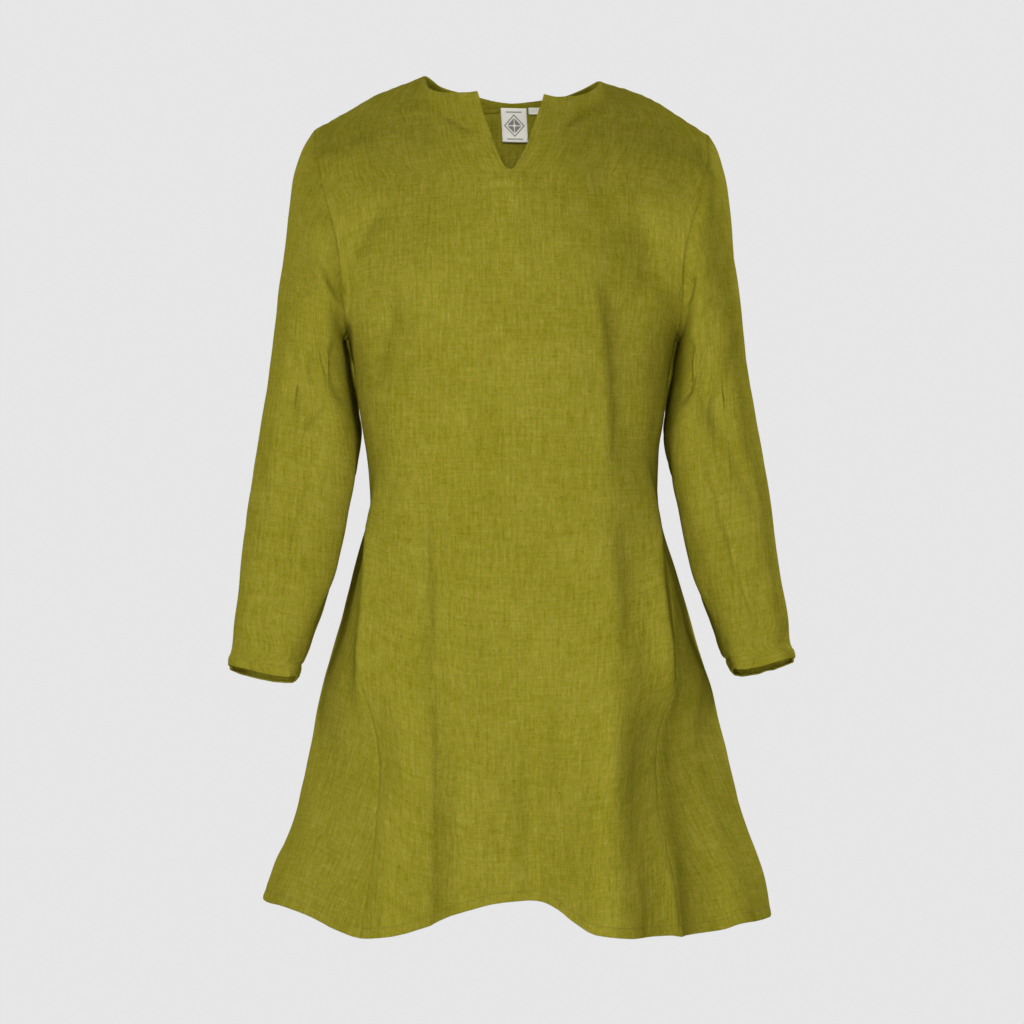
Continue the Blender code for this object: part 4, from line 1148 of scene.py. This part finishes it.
def ribbon(name, sizes, material):
    swing, shape = math.radians(sizes["swing"]), ribbonShape
    evenly = np.linspace(0, 1, shape["points"])
    s, t = np.meshgrid(evenly, evenly)
    across, down = s * sizes["width"], t * sizes["length"]
    x = sizes["topLeft"][0] + across * math.cos(swing) + down * math.sin(swing) * shape["skew"]
    z = sizes["topLeft"][1] - across * math.sin(swing) * shape["droop"] - down * math.cos(swing)
    lift = sizes["lift"] + sizes["curl"] * t**2 + shape["bow"] * np.sin(s * math.pi)
    lift = lift + shape["ripple"] * np.sin(t * 5 + s * 2)
    grid = np.stack([x, behind(x, z) - lift, z], axis=-1)
    back = grid + (0, sizes["thickness"], 0)
    uv = np.stack([s, 1 - t], axis=-1).reshape(-1, 2)
    flat = [g.reshape(-1, 3) for g in (grid, back)]
    return shell(name, [grid], [True], flat[0], flat[1], uv, np.zeros_like(flat[0]), material)


labelLook = {
    "cream": (0.97, 0.945, 0.885, 1.0),
    "shadedCream": (0.82, 0.78, 0.69, 1.0),
    "ink": (0.045, 0.045, 0.05, 1.0),
}


def wovenRibbon(name, motif):
    shop = Shop(name)
    uv, u, v = shop.clothPlace()
    rib = shop.maths("SINE", v * 420.0)
    fine = shop.noise(uv, 90.0, 3.0)
    colour = shop.mixed(fine * 0.5, labelLook["cream"], labelLook["shadedCream"])
    if motif:
        def size(wire):
            return shop.maths("ABSOLUTE", wire)

        def below(wire, limit, soft=0.012):
            return shop.add("ShaderNodeMapRange", {"clamp": True}, {
                0: wire, 1: limit + soft, 2: limit - soft, 3: 0.0, 4: 1.0})

        x, y = (u - 0.5) * 0.82, v - 0.49
        lozenge = size(x) + size(y)  # a plain woven diamond with a smaller one cut into four inside it
        outline = below(size(lozenge - 0.310), 0.024)
        inner = below(lozenge, 0.235) * (1 - below(size(x), 0.013)) * (1 - below(size(y), 0.013))
        core = below(lozenge, 0.062)
        rules = below(size(size(y) - 0.395), 0.017) * below(size(x), 0.25)
        ink = shop.maths("MAXIMUM", shop.maths("MAXIMUM", outline, inner * (1 - core)), rules)
        colour = shop.mixed(ink * (0.9 - fine * 0.25), colour, labelLook["ink"])
    bump = shop.add("ShaderNodeBump", None, {"Strength": 0.4, "Distance": 0.0001, "Height": rib * 0.5 + fine})
    return shop.finish(Base_Color=colour, Roughness=0.7 + fine * 0.1, Normal=bump)


pieces["neckLabel"] = ribbon("neckLabel", labelSizes, wovenRibbon("wovenLabel", True))
pieces["sizeTab"] = ribbon("sizeTab", tabSizes, wovenRibbon("wovenTab", False))
print("label and tab ready")


# stitches

stitchSizes = {"pitch": 0.0031, "length": 0.0024, "radius": 0.00030, "seed": 4}
labelThread = dict(stitchSizes, pitch=0.0024, length=0.0019, radius=0.00014)  # the label is sewn finer
stitchInputs = {"Stitch Pitch": "pitch", "Stitch Length": "length", "Thread Radius": "radius", "Seed": "seed"}
topstitch = 0.004  # from the neck's and the slit's edge
threadLook = {"olive": (0.130, 0.118, 0.008, 1.0), "cream": (0.66, 0.61, 0.50, 1.0)}


def threadMaterial(name, colour):
    shop = Shop(name)
    place = shop.add("ShaderNodeTexCoord", out=3)
    twist = shop.noise(place, 900.0, 2.0)
    light = tuple(min(1.0, c * 1.5) for c in colour[:3]) + (1.0,)
    return shop.finish(Base_Color=shop.mixed(twist, colour, light), Roughness=0.55 + twist * 0.2)


oliveThread = threadMaterial("oliveThread", threadLook["olive"])
creamThread = threadMaterial("creamThread", threadLook["cream"])


def stitchTree(name, material):
    tree = bpy.data.node_groups.new(name, "GeometryNodeTree")
    tree.interface.new_socket("Path", in_out="INPUT", socket_type="NodeSocketGeometry")
    for label in stitchInputs:
        kind = "NodeSocketInt" if label == "Seed" else "NodeSocketFloat"
        tree.interface.new_socket(label, in_out="INPUT", socket_type=kind)
    tree.interface.new_socket("Geometry", in_out="OUTPUT", socket_type="NodeSocketGeometry")

    def node(kind, settings=None, **links):
        made = tree.nodes.new(kind)
        for key, value in (settings or {}).items():
            setattr(made, key, value)
        for key, value in links.items():
            socket = made.inputs[key.replace("_", " ")]
            if isinstance(value, bpy.types.NodeSocket):
                tree.links.new(value, socket)
            else:
                socket.default_value = value
        return made

    sizes = node("NodeGroupInput")
    line = node("GeometryNodeMeshToCurve", Mesh=sizes.outputs["Path"])
    even = node("GeometryNodeResampleCurve", {"mode": "LENGTH"}, Curve=line.outputs["Curve"],
                Length=sizes.outputs["Stitch Pitch"])
    tangent = node("GeometryNodeInputTangent")
    turn = node("FunctionNodeAlignRotationToVector", {"axis": "Z"}, Vector=tangent.outputs["Tangent"])
    jitter = node("FunctionNodeRandomValue", {"data_type": "FLOAT_VECTOR"}, Seed=sizes.outputs["Seed"])
    jitter.inputs[0].default_value, jitter.inputs[1].default_value = (0.88, 0.88, 0.86), (1.12, 1.12, 1.06)
    bead = node("GeometryNodeMeshUVSphere", Segments=6, Rings=5, Radius=1.0)
    half = node("ShaderNodeMath", {"operation": "MULTIPLY"})  # its two inputs have the same name
    tree.links.new(sizes.outputs["Stitch Length"], half.inputs[0])
    half.inputs[1].default_value = 0.5
    shape = node("ShaderNodeCombineXYZ", X=sizes.outputs["Thread Radius"], Y=sizes.outputs["Thread Radius"],
                 Z=half.outputs[0])
    sized = node("GeometryNodeTransform", Geometry=bead.outputs["Mesh"], Scale=shape.outputs[0])
    laid = node("GeometryNodeInstanceOnPoints", Points=even.outputs["Curve"],
                Instance=sized.outputs["Geometry"], Rotation=turn.outputs[0], Scale=jitter.outputs[0])
    real = node("GeometryNodeRealizeInstances", Geometry=laid.outputs["Instances"])
    smooth = node("GeometryNodeSetShadeSmooth", Geometry=real.outputs["Geometry"])
    coated = node("GeometryNodeSetMaterial", Geometry=smooth.outputs[0], Material=material)
    end = tree.nodes.new("NodeGroupOutput")
    tree.links.new(coated.outputs[0], end.inputs[0])
    return tree


def stitched(name, paths, tree, sizes):  # rows of stitches along paths of points
    verts, edges = [], []
    for path in paths:
        first = len(verts)
        verts += [tuple(p) for p in path]
        edges += [(k, k + 1) for k in range(first, len(verts) - 1)]
    mesh = bpy.data.meshes.new(name + "Path")
    mesh.from_pydata(verts, edges, [])
    holder = placed(name + "Path", mesh)
    modifier = holder.modifiers.new("stitches", "NODES")
    modifier.node_group = tree
    inputs = {item.name: item.identifier for item in tree.interface.items_tree if item.in_out == "INPUT"}
    for label, key in stitchInputs.items():
        modifier[inputs[label]] = sizes[key]
    bpy.context.view_layer.update()
    made = bpy.data.meshes.new_from_object(holder.evaluated_get(bpy.context.evaluated_depsgraph_get()))
    bpy.data.objects.remove(holder)
    made.name = name
    return placed(name, made)


def surfaceTree(names):
    verts, faces = [], []
    for name in names:
        for grid, flip in zip(movedGrids[name], turned[name]):
            faces += [tuple(int(c) for c in f) for f in gridFaces(*grid.shape[:2], flip, len(verts))]
            verts += [Vector(p) for p in grid.reshape(-1, 3)]
    return BVHTree.FromPolygons(verts, faces)


def laidOn(tree, points, lift=0.00008):
    found = []
    for p in points:
        place, normal, _, _ = tree.find_nearest(Vector(p))
        found.append(place + normal * lift)
    return found


def inset(edge, inside, distance):  # an edge's points moved in over the cloth
    return edge + unit(inside - edge) * distance


hemLines = [
    inset(grid[0], grid[4], clothBuild["hemWidth"])
    for name in ("frontPanel", "goreLeft", "backPanel", "goreRight") for grid in movedGrids[name]
]
bodyTree = surfaceTree(("frontPanel", "backPanel", "goreRight", "goreLeft"))
sleeveTree = surfaceTree(("sleeveRight", "sleeveLeft"))
oliveStitches = stitchTree("stitchRow", oliveThread)
creamStitches = stitchTree("labelStitchRow", creamThread)


def stitchLines(name, lines, tree):
    pieces[name] = stitched(name, [laidOn(tree, line) for line in lines], oliveStitches, stitchSizes)


stitchLines("hemStitches", hemLines, bodyTree)
sleeves = [movedGrids[name][0] for name in ("sleeveRight", "sleeveLeft")]
cuffLines = [inset(grid[-1], grid[-5], clothBuild["hemWidth"]) for grid in sleeves]
stitchLines("cuffStitches", cuffLines, sleeveTree)
neckLines = []
for name in ("frontPanel", "backPanel"):
    for grid in movedGrids[name]:
        neckEdge, slitEdge, clear = grid[-1, : neckFine + 1], grid[slitFine:, 0], topstitch * 0.95
        line = inset(neckEdge, grid[-8, : neckFine + 1], topstitch)
        if name == "frontPanel":  # up the slit and round the corner
            slit = inset(slitEdge, grid[slitFine:, 6], topstitch)
            slit, line = slit[nearest(slit, neckEdge) > clear], line[nearest(line, slitEdge) > clear]
            line = np.concatenate([slit, line])
        neckLines.append(line)
stitchLines("neckStitches", neckLines, bodyTree)


def ribbonStitches(obj, inward, topBand=0.0045, raised=0.0002, count=30):  # along the top edge of a label
    verts = np.array([v.co for v in obj.data.vertices])
    top = verts[verts[:, 2] > verts[:, 2].max() - topBand]
    x = np.linspace(verts[:, 0].min() + inward, top[:, 0].max() - inward, count)
    z = np.polyval(np.polyfit(top[:, 0], top[:, 2], 1), x) + raised
    return np.stack([x, behind(x, z) - labelSizes["lift"] - 0.0001, z], axis=-1)


pieces["labelStitches"] = stitched(
    "labelStitches", [ribbonStitches(pieces["neckLabel"], 0.001)], creamStitches, labelThread)
print("stitches ready")


# what each piece stands for

clothPieces = {  # the part's name for each, its flat width and length as cut in metres, and its area
    "frontPanel": ("front_panel", 0.54, 0.98, 0.405),
    "backPanel": ("back_panel", 0.54, 0.97, 0.395),
    "goreRight": ("gore_right", 0.46, 0.50, 0.132),
    "goreLeft": ("gore_left", 0.46, 0.50, 0.132),
    "sleeveRight": ("sleeve_right", 0.47, 0.64, 0.200),
    "sleeveLeft": ("sleeve_left", 0.47, 0.64, 0.190),
}
for name, (node, width, length, area) in clothPieces.items():
    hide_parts(node)
    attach(pieces[name], "root")
smallPieces = {  # the part's name for each and its slot
    "backNeckBand": ("back_neck_band", "binding"),
    "neckLabel": ("neck_label", "label"),
    "sizeTab": ("size_tab", "label"),
}
for name, (node, slotName) in smallPieces.items():
    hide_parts(node)
    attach(pieces[name], "root")
for name in ("hemStitches", "cuffStitches", "neckStitches", "labelStitches"):
    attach(pieces[name], "root")
    "label" if name == "labelStitches" else "linen"


# floor, light and camera

stageLook = {
    "floorHeight": -1.45, "floorRadius": 1.05, "floorSides": 96,
    "floorFade": 0.55,  # the share of the radius where it starts to vanish
    "background": 0.795, "ambient": 0.03,
}


def paleFloor():
    shop, radius, sides = Shop("paleFloor"), stageLook["floorRadius"], stageLook["floorSides"]
    place = shop.add("ShaderNodeTexCoord", out=3)
    length = shop.add("ShaderNodeVectorMath", {"operation": "LENGTH"}, {0: place}, 1)
    away = shop.add("ShaderNodeMapRange", {"interpolation_type": "SMOOTHSTEP"}, {
        0: length, 1: radius * stageLook["floorFade"], 2: radius, 3: 1.0, 4: 0.0})
    shop.finish(Base_Color=(0.80, 0.80, 0.80, 1.0), Roughness=0.9, Alpha=away)
    mesh = bpy.data.meshes.new("floor")
    angles = np.linspace(0, math.tau, sides, endpoint=False)
    ring = [(radius * math.cos(a), radius * math.sin(a), 0.0) for a in angles]
    mesh.from_pydata([(0, 0, 0)] + ring, [], [(0, k + 1, (k + 1) % sides + 1) for k in range(sides)])
    mesh.materials.append(shop.material)
    floor = placed("floor", mesh)
    floor.location = (0, 0, stageLook["floorHeight"])


paleFloor()

lightAim = (0.0, 0.0, -0.45)
lightSetup = {  # place, width and height, power
    "frontLow": ((0.0, -2.02, -1.03), 0.7, 14),
    "frontCentre": ((0.0, -1.97, 0.27), 0.7, 11),
    "frontHigh": ((0.65, -1.79, 0.44), 0.7, 3.5),
    "frontRight": ((0.65, -2.0, -0.45), 0.7, 10),
    "sideLeft": ((-1.61, -1.35, -0.45), 0.7, 16),
    "behindRight": ((2.26, 1.89, 1.25), 0.9, 130),
    "behindLeft": ((-2.26, 1.89, 1.25), 0.9, 88),
}
neckLight = {  # a narrow lamp into the slit
    "place": (0.0, -1.55, 0.80), "aim": (0.0, 0.075, -0.058), "angle": 4.0, "radius": 0.05, "power": 92,
}


def aimed(name, data, place, aim):  # a lamp or camera turned to what it points at
    obj = placed(name, data)
    obj.location = place
    obj.rotation_mode = "QUATERNION"
    obj.rotation_quaternion = (Vector(aim) - Vector(place)).to_track_quat("-Z", "Y")
    return obj


for name, (place, size, power) in lightSetup.items():
    data = bpy.data.lights.new(name, "AREA")
    data.shape, data.size, data.size_y, data.energy = "RECTANGLE", size, size, power
    aimed(name, data, place, lightAim)
data = bpy.data.lights.new("neckLight", "SPOT")
data.spot_size, data.spot_blend = math.radians(neckLight["angle"]), 1.0
data.shadow_soft_size, data.energy = neckLight["radius"], neckLight["power"]
aimed("neckLight", data, neckLight["place"], neckLight["aim"])

world = bpy.data.worlds.new("studio")
bpy.context.scene.world = world
world.use_nodes = True
worldNodes, worldLinks = world.node_tree.nodes, world.node_tree.links
soft = worldNodes["Background"]
soft.inputs["Color"].default_value, soft.inputs["Strength"].default_value = (1.0,) * 4, stageLook["ambient"]
plain = worldNodes.new("ShaderNodeBackground")
plain.inputs["Color"].default_value = (stageLook["background"],) * 3 + (1.0,)
path, mixer = worldNodes.new("ShaderNodeLightPath"), worldNodes.new("ShaderNodeMixShader")
worldLinks.new(path.outputs["Is Camera Ray"], mixer.inputs[0])
worldLinks.new(soft.outputs[0], mixer.inputs[1])
worldLinks.new(plain.outputs[0], mixer.inputs[2])
worldLinks.new(mixer.outputs[0], worldNodes["World Output"].inputs["Surface"])
bpy.context.scene.view_settings.view_transform = "Standard"
bpy.context.scene.view_settings.look = "None"

cameraSetup = {"place": (0.0, -3.0, -0.2555), "aim": (0.0, 0.0, -0.5035), "lens": 90.0, "sensor": 36.0}
cameraData = bpy.data.cameras.new("camera")
cameraData.lens, cameraData.sensor_width = cameraSetup["lens"], cameraSetup["sensor"]
bpy.context.scene.camera = aimed("camera", cameraData, cameraSetup["place"], cameraSetup["aim"])
print("camera and lights ready")

bpy.context.view_layer.update()
